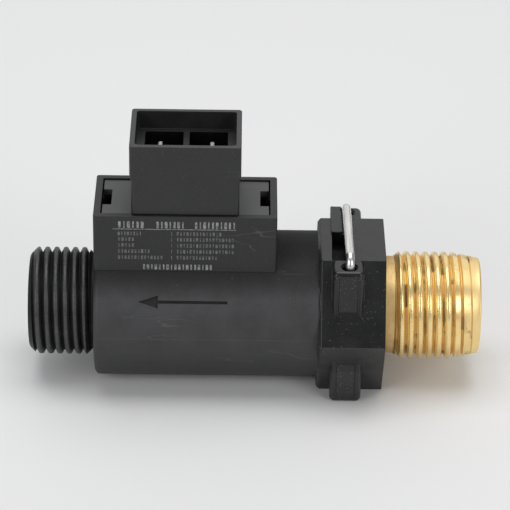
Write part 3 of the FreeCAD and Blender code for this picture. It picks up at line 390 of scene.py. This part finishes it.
def housing_tint(tree, point, mottle):
    """Plain black on the block, greyer on the eroded barrel, deeper where it is polished; light and
    shade are painted up the barrel.
    """
    block = spread(tree, mottle, BLOCK_DARK, BLOCK_LIGHT)
    barrel = spread(tree, mottle, BARREL_DARK, BARREL_LIGHT)
    # Painted light and shade up the barrel: darker low down, brightest a little above the middle,
    # darkest along the top.
    barrel = blended(tree, 1.0, barrel, barrel_height(tree, point, BARREL_PAINTED_LIGHT_AND_SHADE), "MULTIPLY")
    base = blended(tree, round_part(tree, point), block, barrel)
    polished = spread(tree, mottle, POLISHED_DARK, POLISHED_LIGHT)
    # Low down the polished collar and thread turn paler: dust, and a painted reflection of the floor.
    dust_and_reflection = band(tree, point, "Z", -FAR, DUST_AND_REFLECTION_BELOW, 0.4 * MM)
    polished = blended(tree, dust_and_reflection, polished, DUST_AND_FLOOR_REFLECTION)
    base = blended(tree, polished_places(tree, point), base, polished)
    flash = band(tree, point, "Z", -PARTING_LINE, PARTING_LINE, 0.03 * MM)
    base = blended(tree, times(tree, flash, 0.3), base, NYLON_SCRATCH)
    fine_dust = dust_specks(tree, point, 0.55 * MM, 0.20)
    base = blended(tree, times(tree, fine_dust, collar_front(tree, point)), base, NYLON_DUST)
    # The crests of the thread are rubbed paler and also painted lighter as a highlight.
    crest = radial_band(tree, point, THREAD_CREST_RUBBED_AND_HIGHLIT, FAR, 0.07 * MM)
    crest = times(tree, crest, outlet_part(tree, point))
    fuzz = graded(tree, noise(tree, point, 0.45 * MM, 4.0, 0.7), ((0.36, 0.05), (0.66, 1.0)))
    base = blended(tree, times(tree, crest, fuzz), base, THREAD_RUBBED_AND_HIGHLIT)
    # Painted shade on the floor of the recess beside the clip.
    base = blended(tree, recess_floor(tree, point), base, RECESS_PAINTED_SHADE)
    return blended(tree, arrow_floor(tree, point), base, ARROW_BLACK)


def housing_roughness(tree, point, mottle):
    """Dull grain on the barrel and block, and a soft shine on the collar and the thread."""
    grainy = spread(tree, mottle, 0.50, 0.60)
    shiny = spread(tree, mottle, 0.27, 0.38)
    rough = blended(tree, polished_places(tree, point), grainy, shiny)
    return blended(tree, arrow_floor(tree, point), rough, grey(0.75))


def housing_sheen(tree, point):
    """Plain sheen, less on the top of the barrel and in the thread, almost none in the recess."""
    barrel = worked(tree, "SUBTRACT", round_part(tree, point), polished_places(tree, point))
    sheen = barrel_height(tree, point, BARREL_SHEENS)
    sheen = blended(tree, barrel, grey(PLAIN_SHEEN), sheen)
    roots = radial_band(tree, point, 8.0 * MM, THREAD_DIRTY, 0.25 * MM)
    roots = times(tree, roots, outlet_part(tree, point))
    sheen = blended(tree, roots, sheen, grey(0.12))
    return blended(tree, recess_floor(tree, point), sheen, grey(0.08))


def edge_tint(tree, point, mottle):
    """Corners rubbed grey by handling, and painted lighter as an edge highlight."""
    return spread(tree, mottle, EDGE_WORN_AND_HIGHLIT_DARK, EDGE_WORN_AND_HIGHLIT_LIGHT)


def edge_roughness(tree, point, mottle):
    """Corners polished a little by the same handling."""
    return spread(tree, mottle, 0.30, 0.44)


def thread_or_bore(place):
    """The outlet thread and the inner walls, whose edges stay as they were moulded."""
    return place.x < BARREL_LEFT - STEP_FADE or math.hypot(place.y, place.z) < BORES_WITHIN


housing_nylon = moulded_nylon("housing_nylon", housing_tint, housing_roughness, housing_sheen)
worn_and_highlit_nylon = moulded_nylon("worn_and_highlit_nylon_edge", edge_tint, edge_roughness)

housing = dressed("body_housing", "housing_moulding", EDGE_BREAK, thread_or_bore)
housing.data.materials.append(housing_nylon)
housing.data.materials.append(worn_and_highlit_nylon)


# The cover closes the block and carries the connector shell; both are one moulding in the
# same nylon, snapped in from above. It is a little smoother than the block. A reflection is
# painted on its deck, which makes it greyer, and on the top of the shell's rim, and shade is
# painted in its cavities.
COVER_DARK = (0.0090, 0.0091, 0.0098)
COVER_LIGHT = (0.0140, 0.0142, 0.0152)
PAINTED_REFLECTION_DARK = (0.053, 0.0535, 0.0545)
PAINTED_REFLECTION_LIGHT = (0.070, 0.0705, 0.0715)
CAVITY_PAINTED_SHADE = (0.003, 0.003, 0.0033)
DECK_UNDER = 22.0 * MM
DECK_TOP = 23.2 * MM
SHELL_RIM = 38.2 * MM
CAVITY_LEFT = -65.2 * MM
CAVITY_RIGHT = -49.2 * MM
CAVITY_HALF_WIDTH = 6.0 * MM
CAVITY_TOP = 34.3 * MM


def cavities(tree, point):
    """The two deep cavities round the tabs, which hardly any light reaches; shade is painted into
    them.
    """
    inside = band(tree, point, "X", CAVITY_LEFT, CAVITY_RIGHT, 0.02 * MM)
    width = band(tree, point, "Y", -CAVITY_HALF_WIDTH, CAVITY_HALF_WIDTH, 0.02 * MM)
    inside = times(tree, inside, width)
    return times(tree, inside, band(tree, point, "Z", DECK_TOP, CAVITY_TOP, STEP_FADE))


def cover_tint(tree, point, mottle):
    """Black shell, with a painted reflection greying the deck and paling the top of the rim, and
    painted shade in the cavities.
    """
    shell = spread(tree, mottle, COVER_DARK, COVER_LIGHT)
    # Painted highlight along the top of the shell's rim.
    rubbed = band(tree, point, "Z", SHELL_RIM - 0.12 * MM, FAR, 0.06 * MM)
    shell = blended(tree, times(tree, rubbed, 0.30), shell, PAINTED_REFLECTION_LIGHT)
    # Painted shade in the cavities.
    shell = blended(tree, cavities(tree, point), shell, CAVITY_PAINTED_SHADE)
    # Painted reflection on the deck.
    painted_deck_reflection = spread(tree, mottle, PAINTED_REFLECTION_DARK, PAINTED_REFLECTION_LIGHT)
    deck_part = band(tree, point, "Z", DECK_UNDER, DECK_TOP + 0.08 * MM, 0.04 * MM)
    return blended(tree, deck_part, shell, painted_deck_reflection)


def cover_roughness(tree, point, mottle):
    """A little smoother than the block."""
    return spread(tree, mottle, 0.44, 0.54)


def cover_sheen(tree, point):
    """Plain sheen, and little in the cavities."""
    return blended(tree, cavities(tree, point), grey(PLAIN_SHEEN), grey(0.15))


cover_nylon = moulded_nylon("cover_nylon", cover_tint, cover_roughness, cover_sheen)
cover = dressed("switch_cover", "cover_moulding", EDGE_BREAK)
cover.data.materials.append(cover_nylon)
cover.data.materials.append(worn_and_highlit_nylon)


# The nipple is turned from brass bar. The crests of its thread are burnished bright; a brown
# film and smudges sit in the roots, and the tool has left fine rings round it.
BRASS_BRIGHT = (1.0, 0.79, 0.38)
BRASS_DEEP = (0.93, 0.68, 0.30)
BRASS_DULL = (0.52, 0.32, 0.12)
BRASS_BROWN = (0.20, 0.105, 0.035)
ROOT_TARNISHED = 9.5 * MM
CREST_CLEAN = 10.23 * MM
NIPPLE_THREAD_LEFT = -16.4 * MM
NIPPLE_THREAD_RIGHT = -1.8 * MM
TARNISH_PATCH = 2.4 * MM


def turned_brass():
    """Brass with cutter rings, and tarnish held in the roots of the thread."""
    material, tree, shader = new_material("turned_brass")
    point = object_point(tree)
    cloud = noise(tree, point, 6 * MM, 4.0)
    rings = noise(tree, object_point(tree, (9, 0.25, 0.25)), 1.0 * MM, 3.0)
    smudge = noise(tree, object_point(tree, (1.6, 0.55, 0.55)), 2.6 * MM, 3.0, 0.65)
    depth = tree.nodes.new("ShaderNodeMapRange")
    depth.inputs["From Min"].default_value = CREST_CLEAN
    depth.inputs["From Max"].default_value = ROOT_TARNISHED
    tree.links.new(axis_radius(tree, point), depth.inputs["Value"])
    root = depth.outputs["Result"]
    threaded = band(tree, point, "X", NIPPLE_THREAD_LEFT, NIPPLE_THREAD_RIGHT, 0.5 * MM)
    neck = band(tree, point, "X", -FAR, NIPPLE_THREAD_LEFT, 0.3 * MM)
    patches = tree.nodes.new("ShaderNodeTexVoronoi")
    patches.distance = "CHEBYCHEV"
    patches.inputs["Scale"].default_value = 1 / TARNISH_PATCH
    tree.links.new(object_point(tree, (1.3, 0.7, 0.7)), patches.inputs["Vector"])
    few = graded(tree, patches.outputs["Color"], ((0.58, 0.05), (0.68, 1.0)))
    smeared = graded(tree, smudge, ((0.38, 0.15), (0.54, 1.0)))
    stain = blended(tree, 1.0, few, smeared, "MULTIPLY")
    film = times(tree, times(tree, root, threaded), stain)
    base = graded(tree, cloud, ((0.3, BRASS_DEEP), (0.65, BRASS_BRIGHT)))
    base = blended(tree, times(tree, film, 0.8), base, BRASS_BROWN)
    dulled = times(tree, neck, graded(tree, smudge, ((0.35, 0.30), (0.7, 0.75))))
    base = blended(tree, dulled, base, BRASS_DULL)
    spots = graded(tree, smudge, ((0.66, 0.0), (0.74, 0.3)))
    base = blended(tree, spots, base, BRASS_BROWN)
    tree.links.new(base, shader.inputs["Base Color"])
    shader.inputs["Metallic"].default_value = 0.78
    polish = spread(tree, rings, 0.38, 0.52)
    burnished = times(tree, worked(tree, "SUBTRACT", 1.0, root), threaded)
    polish = blended(tree, burnished, polish, grey(0.27))
    polish = blended(tree, neck, polish, grey(0.52))
    polish = blended(tree, film, polish, grey(0.55))
    tree.links.new(polish, shader.inputs["Roughness"])
    bumped(tree, shader, ((rings, 0.010 * MM), (smudge, 0.02 * MM)))
    return material


nipple_brass = turned_brass()
nipple = dressed("inlet_nipple", "brass_nipple")
nipple.data.materials.append(nipple_brass)


# The clip is bent from bright drawn stainless wire and pushed down through the collar, where
# its legs hold the nipple. The drawing die leaves fine lines along the wire.
WIRE_BRIGHT = (0.88, 0.87, 0.85)
WIRE_GREY = (0.66, 0.65, 0.63)


def drawn_steel(name, bright, dull, polish=(0.20, 0.32), streak_width=0.8 * MM):
    """Bright wire or strip with fine drawing lines and dull patches."""
    material, tree, shader = new_material(name)
    streak = noise(tree, object_point(tree, (1, 0.08, 0.08)), streak_width, 2.0)
    cloud = noise(tree, object_point(tree), 3 * MM, 3.0)
    base = graded(tree, streak, ((0.3, dull), (0.6, bright)))
    base = blended(tree, graded(tree, cloud, ((0.55, 0.0), (0.75, 0.5))), base, dull)
    tree.links.new(base, shader.inputs["Base Color"])
    tree.links.new(spread(tree, cloud, *polish), shader.inputs["Roughness"])
    shader.inputs["Metallic"].default_value = 1.0
    bumped(tree, shader, ((streak, 0.0005 * MM),))
    return material


wire_steel = drawn_steel("clip_wire", WIRE_BRIGHT, WIRE_GREY)
clip = dressed("retaining_clip", "wire_clip")
clip.data.materials.append(wire_steel)


# Sealing rings of black nitrile rubber: one round the nipple, one round the seat ring, and
# the flat washer on the nose of the piston. Grease leaves them with cloudy bright patches.
def black_rubber():
    """Matt rubber with a bloom and a little grease."""
    material, tree, shader = new_material("nitrile_rubber")
    point = object_point(tree)
    bloom = noise(tree, point, 1.8 * MM, 4.0)
    grain = noise(tree, point, 0.15 * MM, 2.0)
    tree.links.new(graded(tree, bloom, ((0.35, 0.010), (0.7, 0.032))), shader.inputs["Base Color"])
    tree.links.new(graded(tree, bloom, ((0.4, 0.38), (0.6, 0.68))), shader.inputs["Roughness"])
    bumped(tree, shader, ((grain, 0.01 * MM),))
    return material


seal_rubber = black_rubber()
for node, name in (
    ("nipple_o_ring", "nipple_seal"), ("seat_o_ring", "seat_seal"), ("piston_washer", "valve_washer"),
):
    seal = dressed(node, name)
    seal.data.materials.append(seal_rubber)


# The inner parts are moulded in natural white acetal: the ring that the piston closes on, the
# piston with its fins and stem, the cap behind its magnet, the stem guide and the strainer.
ACETAL_DARK = (0.70, 0.69, 0.64)
ACETAL_LIGHT = (0.80, 0.79, 0.75)
LIME_SCALE = (0.55, 0.49, 0.38)
SCATTER_DEPTHS = (0.9 * MM, 0.8 * MM, 0.7 * MM)
THIN_BREAK = 0.08 * MM


def natural_acetal():
    """Waxy white plastic, slightly see-through, with flow marks and traces of scale."""
    material, tree, shader = new_material("natural_acetal")
    point = object_point(tree)
    flow = noise(tree, object_point(tree, (0.5, 1, 1)), 3.2 * MM, 4.0)
    scale = noise(tree, point, 1.1 * MM, 5.0, 0.7)
    base = spread(tree, flow, ACETAL_DARK, ACETAL_LIGHT)
    base = blended(tree, graded(tree, scale, ((0.60, 0.0), (0.78, 0.5))), base, LIME_SCALE)
    tree.links.new(base, shader.inputs["Base Color"])
    tree.links.new(spread(tree, flow, 0.34, 0.5), shader.inputs["Roughness"])
    shader.inputs["Subsurface Weight"].default_value = 0.12
    shader.inputs["Subsurface Radius"].default_value = SCATTER_DEPTHS
    bumped(tree, shader, ((scale, 0.012 * MM),))
    return material


white_acetal = natural_acetal()
for node, name, edge_break in (
    ("seat_ring", "piston_seat", THIN_BREAK), ("piston_body", "piston_moulding", THIN_BREAK),
    ("magnet_cap", "magnet_retainer", EDGE_BREAK), ("stem_guide", "guide_spider", THIN_BREAK),
    ("strainer_frame", "strainer_basket", THIN_BREAK),
):
    moulding = dressed(node, name, edge_break)
    moulding.data.materials.append(white_acetal)
    moulding.data.materials.append(white_acetal)


# The magnet is a pressed ring of sintered ferrite: dark grey, dry and faintly granular.
def sintered_ferrite():
    """Grey ceramic with a pressed grain and chipped lighter specks."""
    material, tree, shader = new_material("sintered_ferrite")
    point = object_point(tree)
    grain = noise(tree, point, 0.35 * MM, 4.0, 0.7)
    base = graded(tree, grain, ((0.35, 0.045), (0.6, 0.085), (0.8, 0.2)))
    tree.links.new(base, shader.inputs["Base Color"])
    tree.links.new(spread(tree, grain, 0.42, 0.6), shader.inputs["Roughness"])
    shader.inputs["Metallic"].default_value = 0.25
    bumped(tree, shader, ((grain, 0.02 * MM),))
    return material


MAGNET_CHAMFER = 0.15 * MM
magnet = dressed("piston_magnet", "ring_magnet", MAGNET_CHAMFER)
ferrite = sintered_ferrite()
magnet.data.materials.append(ferrite)
magnet.data.materials.append(ferrite)


# The return spring is a cold-wound stainless coil. It sits on the stem guide, so it stays with
# the housing, and the stroke of the piston presses it together to under half its length.
spring = dressed("return_spring", "coil_spring")
spring_steel = drawn_steel("spring_wire", WIRE_BRIGHT, WIRE_GREY, (0.2, 0.34), 0.4 * MM)
spring.data.materials.append(spring_steel)
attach(spring, "housing")
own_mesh(spring)


# The strainer cloth is woven from stainless wire and moulded into its basket: a sleeve inside
# the ribs and a round end facing the inlet.
MESH_LEFT = -32.4 * MM
MESH_RIGHT = -22.0 * MM
MESH_RADIUS = 6.78 * MM
WEAVE_PITCH = 0.58 * MM
WEAVE_WIRE = 0.15 * MM
WEAVE_ANGLE = math.radians(50)
WEAVE_BRIGHT = (0.72, 0.72, 0.71)
WEAVE_GREY = (0.42, 0.41, 0.40)
sleeve_rows = round((MESH_RIGHT - MESH_LEFT) / WEAVE_PITCH)
sleeve_wires = 2 * round(math.pi * MESH_RADIUS / WEAVE_PITCH)
bpy.ops.object.select_all(action="DESELECT")
bpy.ops.mesh.primitive_cylinder_add(
    vertices=sleeve_wires, radius=MESH_RADIUS, depth=MESH_RIGHT - MESH_LEFT, end_fill_type="NOTHING",
    location=((MESH_LEFT + MESH_RIGHT) / 2, 0, 0), rotation=(0, math.pi / 2, 0),
)
sleeve = bpy.context.object
bpy.ops.object.transform_apply(location=True, rotation=True, scale=True)
bpy.ops.object.mode_set(mode="EDIT")
bpy.ops.mesh.select_all(action="DESELECT")
bpy.ops.mesh.select_mode(type="EDGE")
shape = bmesh.from_edit_mesh(sleeve.data)
for edge in shape.edges:
    edge.select = abs(edge.verts[0].co.x - edge.verts[1].co.x) > WEAVE_PITCH
bmesh.update_edit_mesh(sleeve.data)
bpy.ops.mesh.subdivide(number_cuts=sleeve_rows - 1)
bpy.ops.object.mode_set(mode="OBJECT")
bpy.ops.object.select_all(action="DESELECT")
disc_cells = round(2 * MESH_RADIUS / WEAVE_PITCH)
bpy.ops.mesh.primitive_grid_add(
    x_subdivisions=disc_cells, y_subdivisions=disc_cells, size=2 * MESH_RADIUS,
    location=(MESH_RIGHT - WEAVE_WIRE, 0, 0), rotation=(0, math.pi / 2, 0),
)
disc = bpy.context.object
bpy.ops.object.transform_apply(location=True, rotation=True, scale=True)
bpy.ops.object.mode_set(mode="EDIT")
bpy.ops.mesh.select_all(action="DESELECT")
bpy.ops.mesh.select_mode(type="VERT")
shape = bmesh.from_edit_mesh(disc.data)
for point in shape.verts:
    point.select = point.co.yz.length > MESH_RADIUS
bmesh.update_edit_mesh(disc.data)
bpy.ops.mesh.delete(type="VERT")
bpy.ops.object.mode_set(mode="OBJECT")
sleeve.select_set(True)
bpy.context.view_layer.objects.active = sleeve
bpy.ops.object.join()
woven = bpy.context.object
woven.name = "woven_strainer"
wires = woven.modifiers.new("wires", "WIREFRAME")
wires.thickness = WEAVE_WIRE
wires.use_even_offset = False
bpy.ops.object.modifier_apply(modifier="wires")
bpy.ops.object.shade_smooth_by_angle(angle=WEAVE_ANGLE)
woven_steel = drawn_steel("woven_wire", WEAVE_BRIGHT, WEAVE_GREY, (0.25, 0.4), 0.5 * MM)
woven.data.materials.append(woven_steel)
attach(woven, "nipple")
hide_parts("strainer_mesh")


# The circuit board is glass-epoxy, with copper tracks under its green lacquer. It hangs from
# the soldered tails of the tabs, above the reed.
BOARD_HALF_WIDTH = 5.97 * MM
BOARD_SIDE_FOOT = 14.66 * MM
BOARD_SIDE_TOP = 15.74 * MM
TRACK_LEFT = -63.4 * MM
TRACK_RIGHT = -44 * MM
MIDDLE_TRACK = (-0.8 * MM, 0.8 * MM)
OUTER_TRACK = (2.4 * MM, 4.0 * MM)
LACQUER_DARK = (0.018, 0.13, 0.055)
LACQUER_LIGHT = (0.028, 0.19, 0.08)
LACQUERED_COPPER = (0.07, 0.34, 0.13)
BARE_LAMINATE = (0.32, 0.31, 0.14)


def lacquered_board():
    """Green solder lacquer over copper tracks, with the bare edge of the laminate."""
    material, tree, shader = new_material("lacquered_board")
    point = object_point(tree)
    weave = noise(tree, object_point(tree, (1, 0.3, 1)), 0.7 * MM, 3.0)
    cloud = noise(tree, point, 4 * MM, 3.0)
    base = spread(tree, cloud, LACQUER_DARK, LACQUER_LIGHT)
    outer = band(tree, point, "Y", *OUTER_TRACK, STEP_FADE)
    middle = band(tree, point, "Y", *MIDDLE_TRACK, STEP_FADE)
    run = band(tree, point, "X", TRACK_LEFT, TRACK_RIGHT, 0.1 * MM)
    copper = times(tree, worked(tree, "MAXIMUM", outer, middle), run)
    base = blended(tree, times(tree, copper, 0.75), base, LACQUERED_COPPER)
    side = band(tree, point, "Z", BOARD_SIDE_FOOT, BOARD_SIDE_TOP, 0.02 * MM)
    width = band(tree, point, "Y", -BOARD_HALF_WIDTH, BOARD_HALF_WIDTH, 0.01 * MM)
    rim = worked(tree, "SUBTRACT", 1.0, width)
    base = blended(tree, times(tree, side, rim), base, BARE_LAMINATE)
    tree.links.new(base, shader.inputs["Base Color"])
    tree.links.new(spread(tree, cloud, 0.22, 0.36), shader.inputs["Roughness"])
    bumped(tree, shader, ((copper, 0.035 * MM), (weave, 0.01 * MM)))
    return material


board = dressed("circuit_board", "reed_board")
board.data.materials.append(lacquered_board())


def bright_solder():
    """Tin alloy with a coarse frozen grain, bright and dull in turn."""
    material, tree, shader = new_material("bright_solder")
    point = object_point(tree)
    grain = noise(tree, point, 0.25 * MM, 4.0)
    tree.links.new(spread(tree, grain, 0.5, 0.78), shader.inputs["Base Color"])
    tree.links.new(spread(tree, grain, 0.18, 0.4), shader.inputs["Roughness"])
    shader.inputs["Metallic"].default_value = 1.0
    bumped(tree, shader, ((grain, 0.02 * MM),))
    return material


solder_metal = bright_solder()
for node in ("tab_solder_left", "tab_solder_right", "lead_solder_left", "lead_solder_right"):
    joint = dressed(node, node.replace("solder", "fillet"))
    joint.data.materials.append(solder_metal)


# The reed is a sealed tube of greenish glass with a plated nickel-iron blade from each end;
# the leads are bent up and soldered into the board.
GLASS_DEEP = (0.66, 0.86, 0.70)
GLASS_PALE = (0.78, 0.93, 0.80)
PLATING_BRIGHT = (0.66, 0.64, 0.60)
PLATING_GREY = (0.46, 0.44, 0.41)


def reed_tube_glass():
    """Clear green glass, a little wavy where it was drawn and sealed."""
    material, tree, shader = new_material("reed_tube_glass")
    point = object_point(tree)
    wave = noise(tree, object_point(tree, (0.3, 1, 1)), 1.4 * MM, 3.0)
    tree.links.new(spread(tree, wave, GLASS_DEEP, GLASS_PALE), shader.inputs["Base Color"])
    tree.links.new(spread(tree, wave, 0.02, 0.08), shader.inputs["Roughness"])
    shader.inputs["Transmission Weight"].default_value = 0.92
    shader.inputs["IOR"].default_value = 1.5
    bumped(tree, shader, ((wave, 0.01 * MM),))
    return material


glass_tube = dressed("reed_glass", "reed_tube")
glass_tube.data.materials.append(reed_tube_glass())
blade_metal = drawn_steel("plated_reed", PLATING_BRIGHT, PLATING_GREY, (0.2, 0.34), 0.5 * MM)
for node in ("reed_lead_left", "reed_lead_right", "reed_armature"):
    blade = dressed(node, node.replace("reed", "plated"))
    blade.data.materials.append(blade_metal)


# Two tabs, stamped from tinned brass strip, stand in the connector shell. Their tips are
# painted brighter as a highlight, and streaks of the brass show through the tin.
TIP_PAINTED_HIGHLIGHT_ABOVE = 33.3 * MM
TIN_GREY = (0.66, 0.64, 0.58)
TIN_BRIGHT = (0.82, 0.80, 0.74)
TIN_PAINTED_HIGHLIGHT = (0.90, 0.86, 0.76)
BRASS_UNDER_TIN = (0.78, 0.62, 0.34)


def tinned_brass():
    """Soft bright tin over brass, with rubbing marks along the tab and a painted highlight on its
    tip.
    """
    material, tree, shader = new_material("tinned_brass")
    point = object_point(tree)
    rub = noise(tree, object_point(tree, (1, 1, 0.12)), 0.5 * MM, 4.0)
    cloud = noise(tree, point, 2.2 * MM, 3.0)
    base = spread(tree, cloud, TIN_GREY, TIN_BRIGHT)
    base = blended(tree, graded(tree, rub, ((0.55, 0.0), (0.75, 0.7))), base, BRASS_UNDER_TIN)
    # Painted highlight on the tips, made paler and less metallic.
    tip_highlight = band(tree, point, "Z", TIP_PAINTED_HIGHLIGHT_ABOVE, FAR, 0.15 * MM)
    base = blended(tree, tip_highlight, base, TIN_PAINTED_HIGHLIGHT)
    tree.links.new(base, shader.inputs["Base Color"])
    tree.links.new(spread(tree, rub, 0.2, 0.36), shader.inputs["Roughness"])
    metallic = worked(tree, "SUBTRACT", 1.0, times(tree, tip_highlight, 0.40))
    tree.links.new(metallic, shader.inputs["Metallic"])
    bumped(tree, shader, ((rub, 0.01 * MM),))
    return material


tab_metal = tinned_brass()
for node in ("terminal_tab_left", "terminal_tab_right"):
    tab = dressed(node, node.replace("terminal", "plug"), THIN_BREAK)
    tab.data.materials.append(tab_metal)
    tab.data.materials.append(tab_metal)


# The rating panel is pad-printed in worn white ink on the front of the block: a header, a
# rule, and rows of short marks in two columns. Each row gives its height, the height of its
# marks, and the left and right end of each run of them, in millimetres.
BLOCK_FRONT = -8.35 * MM
INK_FILM = 0.02 * MM
SMALL_PRINT_FOOT = 13.8 * MM
SMALL_PRINT_TOP = 20.5 * MM
BOLD_WORN = (0.06, 0.06, 0.062)
BOLD_INK = (0.30, 0.30, 0.30)
SMALL_WORN = (0.03, 0.03, 0.031)
SMALL_INK = (0.17, 0.17, 0.17)
RULE_HEIGHT = 0.3
MARK_GAP = 0.32
MARK_PITCH = 0.36
MARK_FILL = 0.50
MARK_SWING = 0.22
MARK_CHANGE = 2.4
MARK_CORNER = 0.3
PRINT_ROWS = (
    (21.75, 1.45, ((-70.1, -64.9), (-62.8, -57.2), (-55.5, -47.5))),
    (20.8, 0.14, ((-71.0, -47.5),)),
    (19.85, 0.8, ((-70.1, -65.4), (-59.9, -59.6), (-58.9, -50.2))),
    (18.6, 0.8, ((-70.1, -66.8), (-59.9, -59.6), (-58.9, -47.8))),
    (17.3, 0.8, ((-70.1, -66.8), (-59.9, -59.6), (-58.9, -47.8))),
    (16.0, 0.8, ((-70.1, -63.8), (-59.9, -59.6), (-58.9, -47.8))),
    (14.65, 0.8, ((-70.1, -61.4), (-59.9, -59.6), (-58.9, -51.0))),
    (12.6, 1.15, ((-65.4, -51.9),)),
)


def worn_ink():
    """White ink rubbed thin, so that the black shows through it in places."""
    material, tree, shader = new_material("worn_ink")
    point = object_point(tree)
    rubbed = noise(tree, point, 0.7 * MM, 4.0, 0.7)
    bold = graded(tree, rubbed, ((0.34, BOLD_WORN), (0.58, BOLD_INK)))
    small = graded(tree, rubbed, ((0.34, SMALL_WORN), (0.62, SMALL_INK)))
    fine_rows = band(tree, point, "Z", SMALL_PRINT_FOOT, SMALL_PRINT_TOP, 0.1 * MM)
    base = blended(tree, fine_rows, bold, small)
    tree.links.new(base, shader.inputs["Base Color"])
    tree.links.new(spread(tree, rubbed, 0.7, 0.5), shader.inputs["Roughness"])
    bumped(tree, shader, ((rubbed, 0.01 * MM),))
    return material


marks = []
for height_z, mark_height, runs in PRINT_ROWS:
    for run_left, run_right in runs:
        rule = mark_height < RULE_HEIGHT
        pitch = MARK_GAP + MARK_PITCH * mark_height
        count = 1 if rule else max(1, round((run_right - run_left) / pitch))
        step = (run_right - run_left) / count
        for index in range(count):
            fill = MARK_FILL + MARK_SWING * math.sin(index * MARK_CHANGE + height_z)
            width = step if rule else step * fill
            corner = MARK_CORNER * min(width, mark_height) * MM
            bpy.ops.object.select_all(action="DESELECT")
            bpy.ops.mesh.primitive_plane_add(
                size=1, rotation=(math.pi / 2, 0, 0),
                location=((run_left + step * (index + 0.5)) * MM, BLOCK_FRONT, height_z * MM),
            )
            mark = bpy.context.object
            mark.scale = (width * MM, mark_height * MM, 1)
            bpy.ops.object.transform_apply(location=True, rotation=True, scale=True)
            bpy.ops.object.mode_set(mode="EDIT")
            bpy.ops.mesh.select_all(action="SELECT")
            bpy.ops.mesh.bevel(offset=corner, segments=2, affect="VERTICES")
            bpy.ops.mesh.select_all(action="SELECT")
            bpy.ops.mesh.extrude_region_move(TRANSFORM_OT_translate={"value": (0, -INK_FILM, 0)})
            bpy.ops.object.mode_set(mode="OBJECT")
            marks.append(mark)
bpy.ops.object.select_all(action="DESELECT")
for mark in marks:
    mark.select_set(True)
bpy.context.view_layer.objects.active = marks[0]
bpy.ops.object.join()
panel = bpy.context.object
panel.name = "printed_panel"
bpy.ops.object.mode_set(mode="EDIT")
bpy.ops.mesh.select_all(action="SELECT")
bpy.ops.mesh.normals_make_consistent(inside=False)
bpy.ops.object.mode_set(mode="OBJECT")
panel.data.materials.append(worn_ink())
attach(panel, "housing")


# A pale card floor under the object, one wide soft light overhead, a low one behind it that
# the upper faces mirror, and two weak ones in front.
FLOOR_HEIGHT = cad_box[0][2]
FLOOR_SIZE = 6
FLOOR_WHITE = (0.80, 0.80, 0.80, 1)
MIDDLE = Vector(((cad_box[0][0] + cad_box[1][0]) / 2, 0, 0.01))
SKY_WHITE = (0.96, 0.97, 1.0, 1)
SKY_STRENGTH = 0.28
bpy.ops.object.select_all(action="DESELECT")
bpy.ops.mesh.primitive_plane_add(size=FLOOR_SIZE, location=(0, 0, FLOOR_HEIGHT))
floor = bpy.context.object
floor.name = "floor"
floor_material, _, floor_shader = new_material("floor_card")
floor_shader.inputs["Base Color"].default_value = FLOOR_WHITE
floor_shader.inputs["Roughness"].default_value = 0.9
floor.data.materials.append(floor_material)


def soft_box(name, place, width, height, power):
    """Rectangular light that faces the middle of the object."""
    light = bpy.data.lights.new(name, "AREA")
    light.shape = "RECTANGLE"
    light.size = width
    light.size_y = height
    light.energy = power
    lamp = bpy.data.objects.new(name, light)
    bpy.context.collection.objects.link(lamp)
    lamp.location = place
    lamp.rotation_euler = (MIDDLE - Vector(place)).to_track_quat("-Z", "Y").to_euler()


soft_box("top_light", (-0.05, 0.05, 0.62), 0.6, 0.45, 2.4)
soft_box("back_panel", (-0.05, 0.50, 0.32), 0.9, 0.5, 0.8)
soft_box("front_left_light", (-0.46, -0.44, 0.29), 0.3, 0.3, 1.05)
soft_box("front_right_light", (0.37, -0.44, 0.29), 0.3, 0.3, 1.05)

world = bpy.data.worlds.new("studio")
bpy.context.scene.world = world
world.use_nodes = True
world.node_tree.nodes["Background"].inputs["Color"].default_value = SKY_WHITE
world.node_tree.nodes["Background"].inputs["Strength"].default_value = SKY_STRENGTH

# The camera stands where the photograph was taken from, a long lens half a metre away.
CAMERA_TILT = math.radians(29.68)
CAMERA_YAW = math.radians(0.39)
CAMERA_ROLL = math.radians(0.91)
CAMERA_DISTANCE = 0.554
CAMERA_TARGET = Vector((-0.0438, 0, 0.01071))
LENS_LENGTH = 201.5
forward = Vector((
    math.sin(CAMERA_YAW) * math.cos(CAMERA_TILT),
    math.cos(CAMERA_YAW) * math.cos(CAMERA_TILT),
    -math.sin(CAMERA_TILT),
))
level = Vector((math.cos(CAMERA_YAW), -math.sin(CAMERA_YAW), 0))
rising = level.cross(forward)
right = math.cos(CAMERA_ROLL) * level + math.sin(CAMERA_ROLL) * rising
above = -math.sin(CAMERA_ROLL) * level + math.cos(CAMERA_ROLL) * rising
camera_data = bpy.data.cameras.new("camera")
camera_data.lens = LENS_LENGTH
camera_data.clip_start = 0.01
camera = bpy.data.objects.new("camera", camera_data)
bpy.context.collection.objects.link(camera)
turn = Matrix((right, above, -forward)).transposed().to_4x4()
camera.matrix_world = Matrix.Translation(CAMERA_TARGET - CAMERA_DISTANCE * forward) @ turn
bpy.context.scene.camera = camera
bpy.context.scene.view_settings.view_transform = "Standard"
